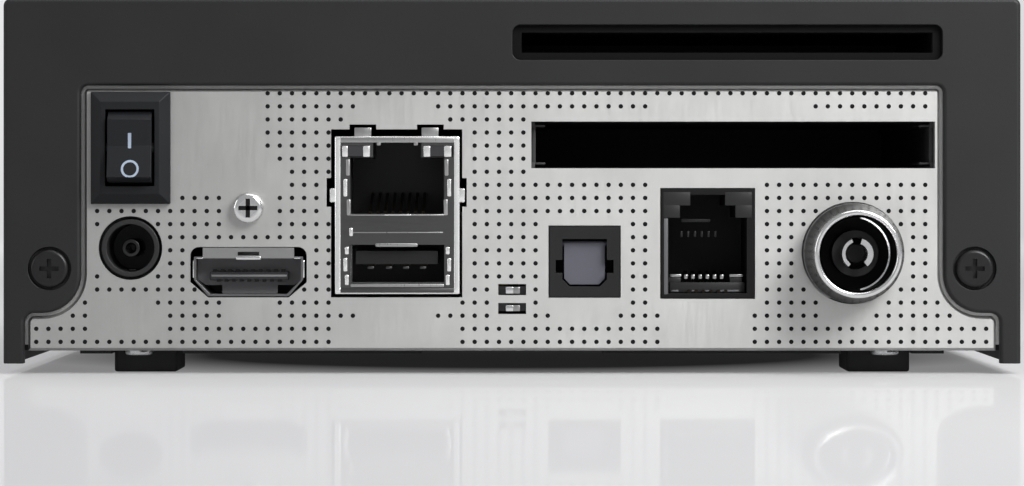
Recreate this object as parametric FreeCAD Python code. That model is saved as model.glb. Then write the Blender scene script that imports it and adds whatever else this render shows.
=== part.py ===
import FreeCAD, Part
import math
import os

# Satellite television receiver: a small table-top box with its sockets on the rear panel.
# Frame: millimetres, +Z up, the socket panel faces -Y and the front window +Y. The origin
# is on the table, under the centre of the whole box with its aerial socket.

# ---------------------------------------------------------------- casing
CASE_WIDTH = 137.0
CASE_DEPTH = 140.0
CASE_HEIGHT = 50.6
SKIRT_GAP = 1.4
COVER_WALL = 1.5
REAR_WALL = 1.6
TOP_EDGE_RADIUS = 1.0
CORNER_RADIUS = 0.6
BUTT_GAP = 0.1
SLIP_GAP = 0.3

OPENING_INSET = 10.4
OPENING_RADIUS = 1.0
OPENING_EDGE_RADIUS = 0.5
SKIRT_INSET = 2.8
SHOULDER_HEIGHT = 8.2
SHOULDER_RADIUS = 1.3
FLARE_RADIUS = 5.2

CARD_RECESS_WIDTH = 57.9
CARD_RECESS_HEIGHT = 4.75
CARD_RECESS_RADIUS = 1.1
CARD_RECESS_DEPTH = 0.9
CARD_SLOT_WIDTH = 55.4
CARD_SLOT_HEIGHT = 2.75
CARD_SLOT_INSET = 10.55

SIDE_VENT_COUNT = 12
SIDE_VENT_PITCH = 5.0
SIDE_VENT_WIDTH = 1.6
SIDE_VENT_HEIGHT = 14.0
SIDE_VENT_Z = 14.0

BEZEL_DEPTH = 7.0
BEZEL_WALL = 2.0
BEZEL_EDGE_RADIUS = 1.0
WINDOW_INSET = 16.5
WINDOW_HEIGHT = 26.0
WINDOW_DROP = 21.6
WINDOW_THICKNESS = 1.0
BUTTON_DIAMETER = 8.0
BUTTON_INSET = 8.5
BUTTON_TRAVEL = 0.6
BUTTON_PROUD = 0.9
BUTTON_GAP = 0.2
BUTTON_CAP_THICKNESS = 1.6
BUTTON_STEM_DIAMETER = 3.0
BUTTON_RIM = 0.8

# ---------------------------------------------------------------- sheet metal and feet
PANEL_THICKNESS = 0.8
PANEL_FLANGE_RISE = 2.0
EMBOSS_HEIGHT = 1.0
EMBOSS_GAP = 0.42
EMBOSS_SLOPE = 0.4
EMBOSS_BEND = 0.4
LIP_DEPTH = 9.0
BASE_THICKNESS = 0.8
BASE_FLANGE_HEIGHT = 7.0
RIB_HEIGHT = 0.6
RIB_WIDTH = 5.0
RIB_INNER_X = 12.3
RIB_SIDE_INSET = 23.7
RIB_INSET = 4.0
DIMPLE_INSET = 11.9
DIMPLE_WIDTH = 4.4
DIMPLE_LENGTH = 7.0
FLOOR_VENT_COUNT = 9
FLOOR_VENT_PITCH = 4.5
FLOOR_VENT_WIDTH = 1.8
FLOOR_VENT_LENGTH = 26.0
FLOOR_VENT_X = 28.0

FOOT_HEIGHT = 3.1
FOOT_WIDTH = 8.6
FOOT_LENGTH = 14.0
FOOT_SIDE_INSET = 18.6
FOOT_INSET = 9.0
REAR_FOOT_INSET = 5.8
FOOT_EDGE_RADIUS = 0.6

# ---------------------------------------------------------------- screws
SCREW_INSET = 6.22
SCREW_Z = 14.2
SCREW_HEAD_DIAMETER = 5.15
SCREW_RECESS_DIAMETER = 5.8
SCREW_RECESS_DEPTH = 0.8
SCREW_HEAD_THICKNESS = 1.1
SCREW_SHANK_DIAMETER = 2.6
SCREW_LENGTH = 5.0
SHANK_GAP = 0.1
CROSS_WIDTH = 0.6
CROSS_SPAN = 2.6
CROSS_DEPTH = 0.7
PANEL_SCREW_RISE = 12.15
PAN_HEAD_DIAMETER = 4.2
PAN_HEAD_THICKNESS = 1.5
FLOOR_SCREW_SIDE_INSET = 17.9
FLOOR_SCREW_INSET = 3.5
FLOOR_HEAD_DIAMETER = 3.8
FLOOR_HEAD_THICKNESS = 0.7
FLOOR_SCREW_CLEARANCE = 0.5
BOARD_SCREW_HEAD = 4.6
BOARD_SCREW_THICKNESS = 1.6

# ---------------------------------------------------------------- boards
BOARD_THICKNESS = 1.6
BOARD_SIDE_GAP = 4.9
BOARD_REAR_GAP = 0.8
BOARD_FRONT_GAP = 15.0
BOARD_HOLE_EDGE = 3.0
BOARD_HOLE_INSET = 20.0
STANDOFF_DIAMETER = 5.0
CARD_BOARD_SIDE_GAP = 3.4
CARD_BOARD_RISE = 16.6
CARD_BOARD_LENGTH = 100.0
CARD_BOARD_REAR_GAP = 1.5
CARD_POST_INSET = 8.0
CARD_POST_EDGE = 6.1

# ---------------------------------------------------------------- power switch and inlet
BEZEL_PLATE_INSET = 1.4
BEZEL_PLATE_WIDTH = 10.7
BEZEL_PLATE_HEIGHT = 15.1
BEZEL_PLATE_THICKNESS = 1.9
BEZEL_RIM_THICKNESS = 0.8
BEZEL_SLOPE_WIDTH = 1.35
SWITCH_BODY_WIDTH = 9.0
SWITCH_BODY_HEIGHT = 13.0
SWITCH_BODY_DEPTH = 12.0
ROCKER_WIDTH = 5.9
ROCKER_HEIGHT = 9.6
ROCKER_GAP = 0.35
ROCKER_DEPTH = 5.0
ROCKER_PIVOT_IN = 1.2
ROCKER_PIN_DIAMETER = 1.6
ROCKER_PIN_LENGTH = 0.9
PIVOT_GAP = 0.05
ROCKER_TILT = 8.0
ROCKER_PROUD = 0.6
ROCKER_TOP_FACET = 1.3
ROCKER_FOOT_FACET = 0.45
TERMINAL_LENGTH = 6.0
TERMINAL_SPREAD = 6.0
WIRE_DIAMETER = 1.4
SWITCH_PLUG_WIDTH = 7.0
SWITCH_PLUG_LENGTH = 9.0
SWITCH_PLUG_HEIGHT = 7.0
WIRE_SPREAD = 4.0
WIRE_REACH = 14.0

DC_HOLE_DIAMETER = 8.6
DC_NOSE_DIAMETER = 7.8
DC_BORE_DIAMETER = 6.4
DC_BORE_DEPTH = 9.5
DC_PIN_DIAMETER = 2.5
DC_PIN_SETBACK = 1.0
DC_BODY_WIDTH = 9.4
DC_BODY_HEIGHT = 11.4
DC_BODY_DEPTH = 13.0

# ---------------------------------------------------------------- hdmi socket
HDMI_RISE = 5.3
HDMI_WIDTH = 14.1
HDMI_HEIGHT = 4.75
HDMI_SIDE_HEIGHT = 2.85
HDMI_FLOOR_WIDTH = 10.3
HDMI_DEPTH = 11.5
HDMI_SHEET = 0.3
HDMI_FLANGE_WIDTH = 12.3
HDMI_FLANGE_HEIGHT = 1.4
HDMI_NOTCH_WIDTH = 2.9
HDMI_NOTCH_HEIGHT = 0.5
HDMI_NOTCH_RISE = 0.35
HDMI_HOLE_WIDTH = 15.7
HDMI_HOLE_RISE = 1.6
HDMI_HOLE_DROP = 0.15
HDMI_HOLE_RADIUS = 1.2
HDMI_TONGUE_WIDTH = 10.6
HDMI_TONGUE_THICKNESS = 1.15
HDMI_TONGUE_DROP = 1.75
HDMI_TONGUE_SETBACK = 1.6
HDMI_PITCH = 1.0
HDMI_PIN_WIDTH = 0.45
HDMI_PIN_THICKNESS = 0.12
HDMI_PIN_COUNT = 10

# ---------------------------------------------------------------- network and usb stack
STACK_WIDTH = 16.7
STACK_RISE = 0.6
STACK_HEIGHT = 21.15
STACK_DEPTH = 21.0
STACK_SHEET = 0.3
STACK_PROUD = 0.5
STACK_HOLE_MARGIN = 0.5
STACK_HOLE_RISE = 1.0
TAB_X = 4.55
TAB_NOTCH_WIDTH = 3.6
TAB_NOTCH_RISE = 0.65
TAB_WIDTH = 2.3
TAB_LENGTH = 1.2
TAB_REACH = 0.9
SIDE_NOTCH_HEIGHT = 3.85
SIDE_NOTCH_DEPTH = 0.6
SIDE_NOTCH_RISE = 13.65
LAN_WIDTH = 12.65
LAN_RISE = 10.75
LAN_HEIGHT = 7.55
LAN_LATCH_WIDTH = 6.5
LAN_LATCH_RISE = 2.2
LAN_DEPTH = 13.0
LAN_PITCH = 1.02
LAN_CONTACT_COUNT = 8
LAN_WIRE = 0.35
LED_WIDTH = 3.8
LED_HEIGHT = 1.5
LED_DROP = 1.95
LED_X = 5.6
USB_WIDTH = 12.8
USB_RISE = 1.3
USB_HEIGHT = 5.25
USB_DEPTH = 13.0
USB_TONGUE_WIDTH = 11.1
USB_TONGUE_THICKNESS = 1.85
USB_TONGUE_DROP = 0.75
USB_TONGUE_SETBACK = 1.2
USB_CONTACT_PITCH = 2.35
USB_CONTACT_WIDTH = 1.0
USB_CONTACT_THICKNESS = 0.2

# ---------------------------------------------------------------- ground clip slots
CLIP_SLOT_WIDTH = 3.75
CLIP_SLOT_HEIGHT = 1.5
CLIP_UPPER_RISE = 1.15
CLIP_LOWER_DROP = 1.4
CLIP_TAB_WIDTH = 1.7
CLIP_TAB_THICKNESS = 0.8
CLIP_BODY_WIDTH = 5.2
CLIP_BODY_DEPTH = 5.0

# ---------------------------------------------------------------- optical socket
OPTICAL_RISE = 0.17
OPTICAL_SIZE = 9.5
OPTICAL_DEPTH = 13.5
OPTICAL_PROUD = 0.1
OPTICAL_HOLE_GAP = 0.12
OPTICAL_RECESS = 1.0
SHUTTER_WIDTH = 5.5
SHUTTER_HEIGHT = 5.9
SHUTTER_THICKNESS = 0.8
SHUTTER_GAP = 0.25
SHUTTER_CHAMFER = 0.8
SHUTTER_PIN_DIAMETER = 0.7
SHUTTER_PIN_LENGTH = 0.6
SHUTTER_SWING = 80.0
OPTICAL_EAR_HEIGHT = 1.75
OPTICAL_EAR_DEPTH = 0.9
OPTICAL_EAR_DROP = 0.5
OPTICAL_MOUTH_DROP = 0.15
LENS_DIAMETER = 2.4
LENS_LENGTH = 2.0

# ---------------------------------------------------------------- serial jack
SERIAL_WIDTH = 12.6
SERIAL_HEIGHT = 14.75
SERIAL_DEPTH = 16.0
SERIAL_HOLE_GAP = 0.1
SERIAL_MOUTH_WIDTH = 10.5
SERIAL_MOUTH_RISE = 0.65
SERIAL_MOUTH_HEIGHT = 10.15
SERIAL_STEP_WIDTH = 7.4
SERIAL_STEP_RISE = 1.65
SERIAL_LATCH_WIDTH = 4.6
SERIAL_LATCH_RISE = 1.45
SERIAL_MOUTH_DEPTH = 13.0
SERIAL_PITCH = 1.0
SERIAL_CONTACT_COUNT = 6
SERIAL_WIRE = 0.4
SERIAL_CONTACT_RISE = 2.4

# ---------------------------------------------------------------- aerial socket
RF_INSET = 5.3
RF_RISE = 6.1
RF_REACH = 9.0
RF_HOLE_DIAMETER = 13.8
RF_BASE_DIAMETER = 13.4
RF_BASE_REACH = 3.0
RF_CONE_LENGTH = 2.0
RF_OUTER_DIAMETER = 11.7
RF_BORE_DIAMETER = 10.2
RF_RIM_RADIUS = 0.3
RF_BORE_DEPTH = 10.0
RF_DISC_DIAMETER = 6.3
RF_DISC_DEPTH = 5.5
RF_CONTACT_DIAMETER = 4.2
RF_CONTACT_BORE = 2.4
RF_CONTACT_SETBACK = 1.0
RF_CONTACT_DEPTH = 8.0
RF_SLIT_WIDTH = 0.5
RF_SLIT_LENGTH = 3.0
TUNER_WIDTH = 17.0
TUNER_HEIGHT = 13.0
TUNER_DEPTH = 42.0

# ---------------------------------------------------------------- card slots
CI_INSET = 1.1
CI_WIDTH = 54.4
CI_HEIGHT = 6.3
CI_SHEET = 0.6
CI_DEPTH = 88.0
CI_HEADER_DEPTH = 6.0
CI_GUIDE_HEIGHT = 4.7
CI_GUIDE_WIDTH = 0.5
READER_HEIGHT = 5.6
READER_WIDTH = 60.0
READER_DEPTH = 56.0
READER_CONTACT_PITCH = 2.54
READER_CONTACT_LENGTH = 5.0
READER_CONTACT_ROWS = 4
BRACKET_SHEET = 1.0
BRACKET_FOOT = 5.0

# ---------------------------------------------------------------- parts on the main board
CHIP_INSET = 28.0
CHIP_SIZE = 23.0
CHIP_HEIGHT = 2.0
PAD_THICKNESS = 0.6
SINK_WIDTH = 36.0
SINK_LENGTH = 40.0
SINK_HEIGHT = 14.0
SINK_BASE = 2.5
SINK_FIN_COUNT = 9
SINK_FIN_THICKNESS = 1.2
MEMORY_WIDTH = 8.0
MEMORY_LENGTH = 12.5
MEMORY_HEIGHT = 1.2
MEMORY_PITCH = 14.0
MEMORY_COUNT = 3
CAPACITOR_DIAMETER = 8.0
CAPACITOR_HEIGHT = 11.0
CAPACITOR_RIM = 0.5
CAPACITOR_COUNT = 4
CAPACITOR_PITCH = 10.5
INDUCTOR_SIZE = 7.0
INDUCTOR_HEIGHT = 4.0
INDUCTOR_COUNT = 3
INDUCTOR_PITCH = 10.0
SUPPORT_THICKNESS = 1.0
SUPPORT_WIDTH = 8.0
SUPPORT_FOOT = 8.0

FRONT_BOARD_HEIGHT = 24.0
FRONT_BOARD_SIDE_GAP = 0.9
FRONT_BOARD_GAP = 5.0
FRONT_POST_DIAMETER = 4.0
FRONT_POST_INSET = 14.5
SENSOR_INSET = 34.5
SENSOR_WIDTH = 6.0
SENSOR_HEIGHT = 7.0
SENSOR_DEPTH = 3.6
LED_LAMP_INSET = 28.5
LED_LAMP_DIAMETER = 3.0
LED_LAMP_LENGTH = 3.6
LIGHT_HOLE_GAP = 0.4
TACT_SIZE = 6.0
TACT_HEIGHT = 2.2
HEADER_WIDTH = 24.0
HEADER_DEPTH = 7.0
HEADER_HEIGHT = 4.0

# ---------------------------------------------------------------- how free room is shared out
# Parts of the free room before each piece and after the last one. Upwards: main board, power
# inlet, switch, panel flange, card reader, roof. Rearward left: power inlet, HDMI, stack,
# raised board, its bracket. Rearward right: ground clip, optical, serial, aerial. Forwards on
# the board: capacitors, heat sink, memory, front header.
HEIGHT_PARTS = (4.7, 1.05, 0.25, 0.85, 1.0, 1.65)
LEFT_PARTS = (0.45, 3.32, 2.63, 3.0, 4.7)
RIGHT_PARTS = (3.5, 2.28, 5.28, 6.2)
BOARD_PARTS = (0.75, 4.0, 7.75, 7.8)


def spread(start, end, widths, parts):
    """Centres of pieces set out between two ends, with the free room shared out in parts."""
    free = (end - start - sum(widths)) / sum(parts)
    centres = []
    at = start
    for width, part in zip(widths, parts):
        at += part * free + width / 2
        centres.append(at)
        at += width / 2
    return centres


# ---------------------------------------------------------------- places worked out from the sizes
REAR_Y = RF_REACH - (CASE_DEPTH + RF_REACH + BUTTON_PROUD) / 2
FRONT_Y = REAR_Y + CASE_DEPTH
FLANGE_Y = REAR_Y + REAR_WALL + BUTT_GAP
FACE_Y = FLANGE_Y - EMBOSS_HEIGHT
PANEL_BACK = FLANGE_Y + PANEL_THICKNESS
FACE_BACK = FACE_Y + PANEL_THICKNESS
BASE_TOP = FOOT_HEIGHT + BASE_THICKNESS
BEZEL_BACK = FRONT_Y - BEZEL_DEPTH
HALF_WIDTH = CASE_WIDTH / 2
INNER_HALF = HALF_WIDTH - COVER_WALL
BASE_HALF = INNER_HALF - SLIP_GAP
BOARD_MIDDLE, DC_Z, SWITCH_Z, FLANGE_MIDDLE, CARD_SLOT_Z = spread(
    BASE_TOP, CASE_HEIGHT - COVER_WALL,
    (BOARD_THICKNESS, DC_BODY_HEIGHT, BEZEL_PLATE_HEIGHT, PANEL_FLANGE_RISE, READER_HEIGHT),
    HEIGHT_PARTS,
)
BOARD_UNDER = BOARD_MIDDLE - BOARD_THICKNESS / 2
BOARD_TOP = BOARD_UNDER + BOARD_THICKNESS
BOARD_HALF_WIDTH = BASE_HALF - BASE_THICKNESS - BOARD_SIDE_GAP
BOARD_HOLE_X = BOARD_HALF_WIDTH - BOARD_HOLE_EDGE
BOARD_REAR = PANEL_BACK + BOARD_REAR_GAP
BOARD_FRONT = FRONT_Y - BOARD_FRONT_GAP
CARD_BOARD_RIGHT = INNER_HALF - CARD_BOARD_SIDE_GAP
CARD_BOARD_TOP = BOARD_TOP + CARD_BOARD_RISE
CARD_BOARD_UNDER = CARD_BOARD_TOP - BOARD_THICKNESS
CARD_BOARD_REAR = PANEL_BACK + CARD_BOARD_REAR_GAP
CARD_BOARD_FRONT = CARD_BOARD_REAR + CARD_BOARD_LENGTH
OVERCUT = 1.0

OPENING_HALF = HALF_WIDTH - OPENING_INSET
OPENING_TOP = FLANGE_MIDDLE - PANEL_FLANGE_RISE / 2
SKIRT_HALF = HALF_WIDTH - SKIRT_INSET
CARD_SLOT_X = HALF_WIDTH - CARD_SLOT_INSET - CARD_RECESS_WIDTH / 2
SCREW_X = HALF_WIDTH - SCREW_INSET
FLOOR_SCREW_X = HALF_WIDTH - FLOOR_SCREW_SIDE_INSET
FOOT_X = HALF_WIDTH - FOOT_SIDE_INSET
RIB_OUTER_X = HALF_WIDTH - RIB_SIDE_INSET
DIMPLE_X = HALF_WIDTH - DIMPLE_INSET
WINDOW_Z = CASE_HEIGHT - WINDOW_DROP
WINDOW_WIDTH = CASE_WIDTH - 2 * WINDOW_INSET
BUTTON_X = BUTTON_INSET - HALF_WIDTH
LED_LAMP_X = LED_LAMP_INSET - HALF_WIDTH
SENSOR_X = HALF_WIDTH - SENSOR_INSET
FRONT_POST_X = HALF_WIDTH - FRONT_POST_INSET

RF_X = OPENING_HALF - RF_INSET - RF_HOLE_DIAMETER / 2
RF_Z = BOARD_TOP + RF_RISE
CI_X = OPENING_HALF - CI_INSET - CI_WIDTH / 2
CI_Z = CARD_BOARD_TOP + CI_SHEET + SLIP_GAP + CI_HEIGHT / 2
SWITCH_X = BEZEL_PLATE_INSET + BEZEL_PLATE_WIDTH / 2 - OPENING_HALF
STACK_SIDE = STACK_HOLE_MARGIN + SIDE_NOTCH_DEPTH
BRACKET_LEFT = CI_X - CI_WIDTH / 2 - CI_SHEET - SLIP_GAP - BRACKET_SHEET
DC_X, HDMI_X, STACK_ROOM, CARD_BOARD_LEFT = spread(
    EMBOSS_GAP + EMBOSS_SLOPE + PANEL_THICKNESS / 2 + SLIP_GAP - OPENING_HALF, BRACKET_LEFT,
    (DC_BODY_WIDTH, HDMI_HOLE_WIDTH, STACK_SIDE + STACK_WIDTH + BUTT_GAP, 0), LEFT_PARTS,
)
STACK_X = STACK_ROOM + (STACK_SIDE - BUTT_GAP) / 2
CLIP_X, OPTICAL_X, SERIAL_X = spread(
    STACK_X + STACK_WIDTH / 2 + STACK_SIDE, RF_X - RF_HOLE_DIAMETER / 2,
    (CLIP_BODY_WIDTH, OPTICAL_SIZE + 2 * OPTICAL_HOLE_GAP, SERIAL_WIDTH + 2 * SERIAL_HOLE_GAP),
    RIGHT_PARTS,
)
PANEL_SCREW_X = HDMI_X
PANEL_SCREW_Z = BOARD_TOP + PANEL_SCREW_RISE
HDMI_TOP = BOARD_TOP + HDMI_RISE
HDMI_HOLE_TOP = HDMI_TOP + HDMI_HOLE_RISE
HDMI_HOLE_FLOOR = HDMI_TOP - HDMI_HEIGHT - HDMI_HOLE_DROP
STACK_FLOOR = BOARD_TOP + STACK_RISE
STACK_TOP = STACK_FLOOR + STACK_HEIGHT
SIDE_NOTCH_Z = STACK_FLOOR + SIDE_NOTCH_RISE
LAN_FLOOR = STACK_FLOOR + LAN_RISE
LED_Z = STACK_TOP - LED_DROP
USB_FLOOR = STACK_FLOOR + USB_RISE
CLIP_UPPER_Z = BOARD_TOP + CLIP_UPPER_RISE
CLIP_LOWER_Z = BOARD_TOP - CLIP_LOWER_DROP
OPTICAL_Z = BOARD_TOP + OPTICAL_RISE + OPTICAL_SIZE / 2
SERIAL_FLOOR = BOARD_TOP
SERIAL_TOP = SERIAL_FLOOR + SERIAL_HEIGHT
SERIAL_MOUTH_FLOOR = SERIAL_FLOOR + SERIAL_MOUTH_RISE
SERIAL_MOUTH_TOP = SERIAL_MOUTH_FLOOR + SERIAL_MOUTH_HEIGHT
SERIAL_STEP_TOP = SERIAL_MOUTH_TOP + SERIAL_STEP_RISE
SERIAL_LATCH_TOP = SERIAL_STEP_TOP + SERIAL_LATCH_RISE

PLUG_Y = FACE_Y + SWITCH_BODY_DEPTH + TERMINAL_LENGTH + WIRE_REACH
CHIP_X = CHIP_INSET - BOARD_HALF_WIDTH
CAPACITOR_Y, CHIP_Y, MEMORY_Y = spread(
    PLUG_Y + SWITCH_PLUG_LENGTH / 2, BOARD_FRONT - HEADER_DEPTH,
    (CAPACITOR_DIAMETER, SINK_LENGTH, MEMORY_LENGTH), BOARD_PARTS,
)


def vec(x, y, z):
    return FreeCAD.Vector(x, y, z)


def block(x0, x1, y0, y1, z0, z1):
    """Box between two corners."""
    return Part.makeBox(x1 - x0, y1 - y0, z1 - z0, vec(x0, y0, z0))


def bar(x, z, width, height, y0, y1):
    """Box centred at x, z that runs from y0 to y1."""
    return block(x - width / 2, x + width / 2, y0, y1, z - height / 2, z + height / 2)


def rod(x, z, diameter, y0, y1):
    """Cylinder along Y from y0 to y1."""
    return Part.makeCylinder(diameter / 2, y1 - y0, vec(x, y0, z), vec(0, 1, 0))


def post(x, y, diameter, z0, z1):
    """Upright cylinder from z0 to z1."""
    return Part.makeCylinder(diameter / 2, z1 - z0, vec(x, y, z0))


def edges_along(shape, axis, test):
    """Straight edges of a shape along an axis whose middle passes the test."""
    found = []
    for edge in shape.Edges:
        ends = edge.Vertexes
        if len(ends) == 2:
            run = ends[1].Point - ends[0].Point
            if abs(run.normalize().dot(axis)) > 0.999 and test(edge.CenterOfMass):
                found.append(edge)
    return found


def rounded_bar(x, z, width, height, radius, y0, y1):
    """Box along Y with its four long edges rounded."""
    slab = bar(x, z, width, height, y0, y1)
    return slab.makeFillet(radius, edges_along(slab, vec(0, 1, 0), lambda p: True))


def prism(points, y0, y1):
    """Closed outline of x, z points pushed along Y from y0 to y1."""
    corners = [vec(x, y0, z) for x, z in points]
    outline = Part.makePolygon(corners + corners[:1])
    return Part.Face(outline).extrude(vec(0, y1 - y0, 0))


def rectangle(x, z, width, height, y):
    """Closed rectangular wire centred at x, z in the plane at y."""
    left, right = x - width / 2, x + width / 2
    low, high = z - height / 2, z + height / 2
    corners = [vec(left, y, low), vec(right, y, low), vec(right, y, high), vec(left, y, high)]
    return Part.makePolygon(corners + corners[:1])


def joined(shapes):
    """One solid made of touching shapes."""
    whole = shapes[0]
    for shape in shapes[1:]:
        whole = whole.fuse(shape)
    return whole.removeSplitter()


def less(shape, tools):
    """A shape with every tool cut away."""
    for tool in tools:
        shape = shape.cut(tool)
    return shape


def group(shapes):
    """Separate solids kept together in one file."""
    return Part.makeCompound(shapes)


def save(name, shape):
    shape.exportStep("parts/" + name + ".step")


def row(count, pitch):
    """Places of a centred row."""
    return [(index - (count - 1) / 2) * pitch for index in range(count)]


def both_sides(x):
    return (-x, x)


# ---------------------------------------------------------------- panel outline
def arc(x, z, radius, start, end, y):
    """Arc about a centre in the plane at y, angles in degrees from +X towards +Z."""
    angles = [math.radians(a) for a in (start, (start + end) / 2, end)]
    points = [vec(x + radius * math.cos(a), y, z + radius * math.sin(a)) for a in angles]
    return Part.Arc(*points).toShape()


def panel_outline(grow, bottom, y):
    """The flared outline of the panel opening, offset outwards by grow."""
    top = OPENING_TOP + grow
    half_top = OPENING_HALF + grow
    half_low = SKIRT_HALF + grow
    shoulder = SHOULDER_HEIGHT + grow
    top_radius = max(OPENING_RADIUS + grow, 0.1)
    low_radius = max(SHOULDER_RADIUS + grow, 0.1)
    flare = FLARE_RADIUS - grow
    right = [
        Part.makeLine(vec(half_low, y, bottom), vec(half_low, y, shoulder - low_radius)),
        arc(half_low - low_radius, shoulder - low_radius, low_radius, 0, 90, y),
        Part.makeLine(vec(half_low - low_radius, y, shoulder), vec(half_top + flare, y, shoulder)),
        arc(half_top + flare, shoulder + flare, flare, 270, 180, y),
        Part.makeLine(vec(half_top, y, shoulder + flare), vec(half_top, y, top - top_radius)),
        arc(half_top - top_radius, top - top_radius, top_radius, 0, 90, y),
    ]
    left = [edge.mirror(vec(0, 0, 0), vec(1, 0, 0)) for edge in right]
    ends = [
        Part.makeLine(vec(-half_low, y, bottom), vec(half_low, y, bottom)),
        Part.makeLine(vec(top_radius - half_top, y, top), vec(half_top - top_radius, y, top)),
    ]
    return Part.Wire(Part.__sortEdges__(right + left + ends))


def panel_slab(grow, bottom, y0, y1):
    """Slab of the panel outline from y0 to y1."""
    return Part.Face(panel_outline(grow, bottom, y0)).extrude(vec(0, y1 - y0, 0))


# ---------------------------------------------------------------- moulded cover
def case_block(y0, y1):
    """Outer block of the casing with rounded top side edges."""
    outer = block(-HALF_WIDTH, HALF_WIDTH, y0, y1, SKIRT_GAP, CASE_HEIGHT)
    tops = edges_along(outer, vec(0, 1, 0), lambda p: p.z > CASE_HEIGHT - OVERCUT)
    return outer.makeFillet(TOP_EDGE_RADIUS, tops)


def card_slot_cuts():
    """The sunk mouth of the smart-card slot and the slot through its floor."""
    mouth = rounded_bar(
        CARD_SLOT_X, CARD_SLOT_Z, CARD_RECESS_WIDTH, CARD_RECESS_HEIGHT,
        CARD_RECESS_RADIUS, REAR_Y - OVERCUT, REAR_Y + CARD_RECESS_DEPTH,
    )
    slot = bar(
        CARD_SLOT_X, CARD_SLOT_Z, CARD_SLOT_WIDTH, CARD_SLOT_HEIGHT,
        REAR_Y - OVERCUT, REAR_Y + REAR_WALL + OVERCUT,
    )
    return [mouth, slot]


def top_cover():
    outer = case_block(REAR_Y, BEZEL_BACK - BUTT_GAP)
    rear = edges_along(outer, vec(0, 0, 1), lambda p: p.y < REAR_Y + OVERCUT)
    rear += edges_along(
        outer, vec(1, 0, 0), lambda p: p.y < REAR_Y + OVERCUT and p.z > SKIRT_GAP + OVERCUT,
    )
    rear += [e for e in outer.Edges if e.BoundBox.YMax < REAR_Y + 0.01 and len(e.Vertexes) == 2
             and e.Curve.TypeId == "Part::GeomCircle"]
    outer = outer.makeFillet(CORNER_RADIUS, rear)
    hollow = block(
        -INNER_HALF, INNER_HALF, REAR_Y + REAR_WALL, FRONT_Y,
        SKIRT_GAP - OVERCUT, CASE_HEIGHT - COVER_WALL,
    )
    through = REAR_Y + REAR_WALL + OVERCUT
    cuts = [hollow, panel_slab(0, SKIRT_GAP - OVERCUT, REAR_Y - OVERCUT, through)]
    cuts += card_slot_cuts()
    for x in both_sides(SCREW_X):
        seat = REAR_Y + SCREW_RECESS_DEPTH
        cuts.append(rod(x, SCREW_Z, SCREW_RECESS_DIAMETER, REAR_Y - OVERCUT, seat))
        cuts.append(rod(x, SCREW_Z, SCREW_SHANK_DIAMETER + 2 * SHANK_GAP, REAR_Y, through))
    reach = HALF_WIDTH + OVERCUT
    for y in row(SIDE_VENT_COUNT, SIDE_VENT_PITCH):
        cuts.append(block(
            -reach, reach, y - SIDE_VENT_WIDTH / 2, y + SIDE_VENT_WIDTH / 2,
            SIDE_VENT_Z, SIDE_VENT_Z + SIDE_VENT_HEIGHT,
        ))
    cover = less(outer, cuts)
    half = SKIRT_HALF + BUTT_GAP
    rim = [
        e for e in cover.Edges
        if e.BoundBox.YMax < REAR_Y + 0.01 and len(e.Vertexes) == 2
        and abs(e.CenterOfMass.x) < half and e.CenterOfMass.z < OPENING_TOP + BUTT_GAP
    ]
    return cover.makeFillet(OPENING_EDGE_RADIUS, rim)


# ---------------------------------------------------------------- front
WINDOW_FLOOR = FRONT_Y - WINDOW_THICKNESS - BUTT_GAP
BEZEL_INNER = FRONT_Y - BEZEL_WALL
FRONT_BOARD_FACE = BEZEL_INNER - FRONT_BOARD_GAP
FRONT_BOARD_BACK = FRONT_BOARD_FACE - BOARD_THICKNESS


def front_bezel():
    outer = case_block(BEZEL_BACK, FRONT_Y)
    front = [e for e in outer.Edges if e.BoundBox.YMin > FRONT_Y - 0.01]
    outer = outer.makeFillet(BEZEL_EDGE_RADIUS, front)
    hollow = block(
        -INNER_HALF, INNER_HALF, BEZEL_BACK - OVERCUT, BEZEL_INNER,
        FOOT_HEIGHT - SLIP_GAP, CASE_HEIGHT - COVER_WALL,
    )
    window = bar(
        0, WINDOW_Z, WINDOW_WIDTH + 2 * BUTT_GAP, WINDOW_HEIGHT + 2 * BUTT_GAP,
        WINDOW_FLOOR, FRONT_Y + OVERCUT,
    )
    button = rod(
        BUTTON_X, WINDOW_Z, BUTTON_DIAMETER + 2 * BUTTON_GAP,
        BEZEL_INNER - OVERCUT, FRONT_Y + OVERCUT,
    )
    sensor = bar(
        SENSOR_X, WINDOW_Z, SENSOR_WIDTH + 2 * LIGHT_HOLE_GAP, SENSOR_HEIGHT + 2 * LIGHT_HOLE_GAP,
        BEZEL_INNER - OVERCUT, FRONT_Y,
    )
    lamp_hole = LED_LAMP_DIAMETER + 2 * LIGHT_HOLE_GAP
    lamp = rod(LED_LAMP_X, WINDOW_Z, lamp_hole, BEZEL_INNER - OVERCUT, FRONT_Y)
    bezel = less(outer, [hollow, window, button, sensor, lamp])
    posts = [
        rod(x, WINDOW_Z, FRONT_POST_DIAMETER, FRONT_BOARD_FACE, BEZEL_INNER + BUTT_GAP)
        for x in (-FRONT_POST_X + 2 * FRONT_POST_DIAMETER, FRONT_POST_X)
    ]
    pads = []
    for x in both_sides(FLOOR_SCREW_X):
        pad = block(
            x - FOOT_WIDTH / 2, x + FOOT_WIDTH / 2, FRONT_SCREW_Y - FOOT_WIDTH / 2, BEZEL_INNER,
            BASE_TOP, BOARD_UNDER - BUTT_GAP,
        )
        pilot = post(x, FRONT_SCREW_Y, SCREW_SHANK_DIAMETER, 0, FLOOR_SCREW_TIP + BUTT_GAP)
        pads.append(less(pad, [pilot]))
    return joined([bezel] + posts + pads)


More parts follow.
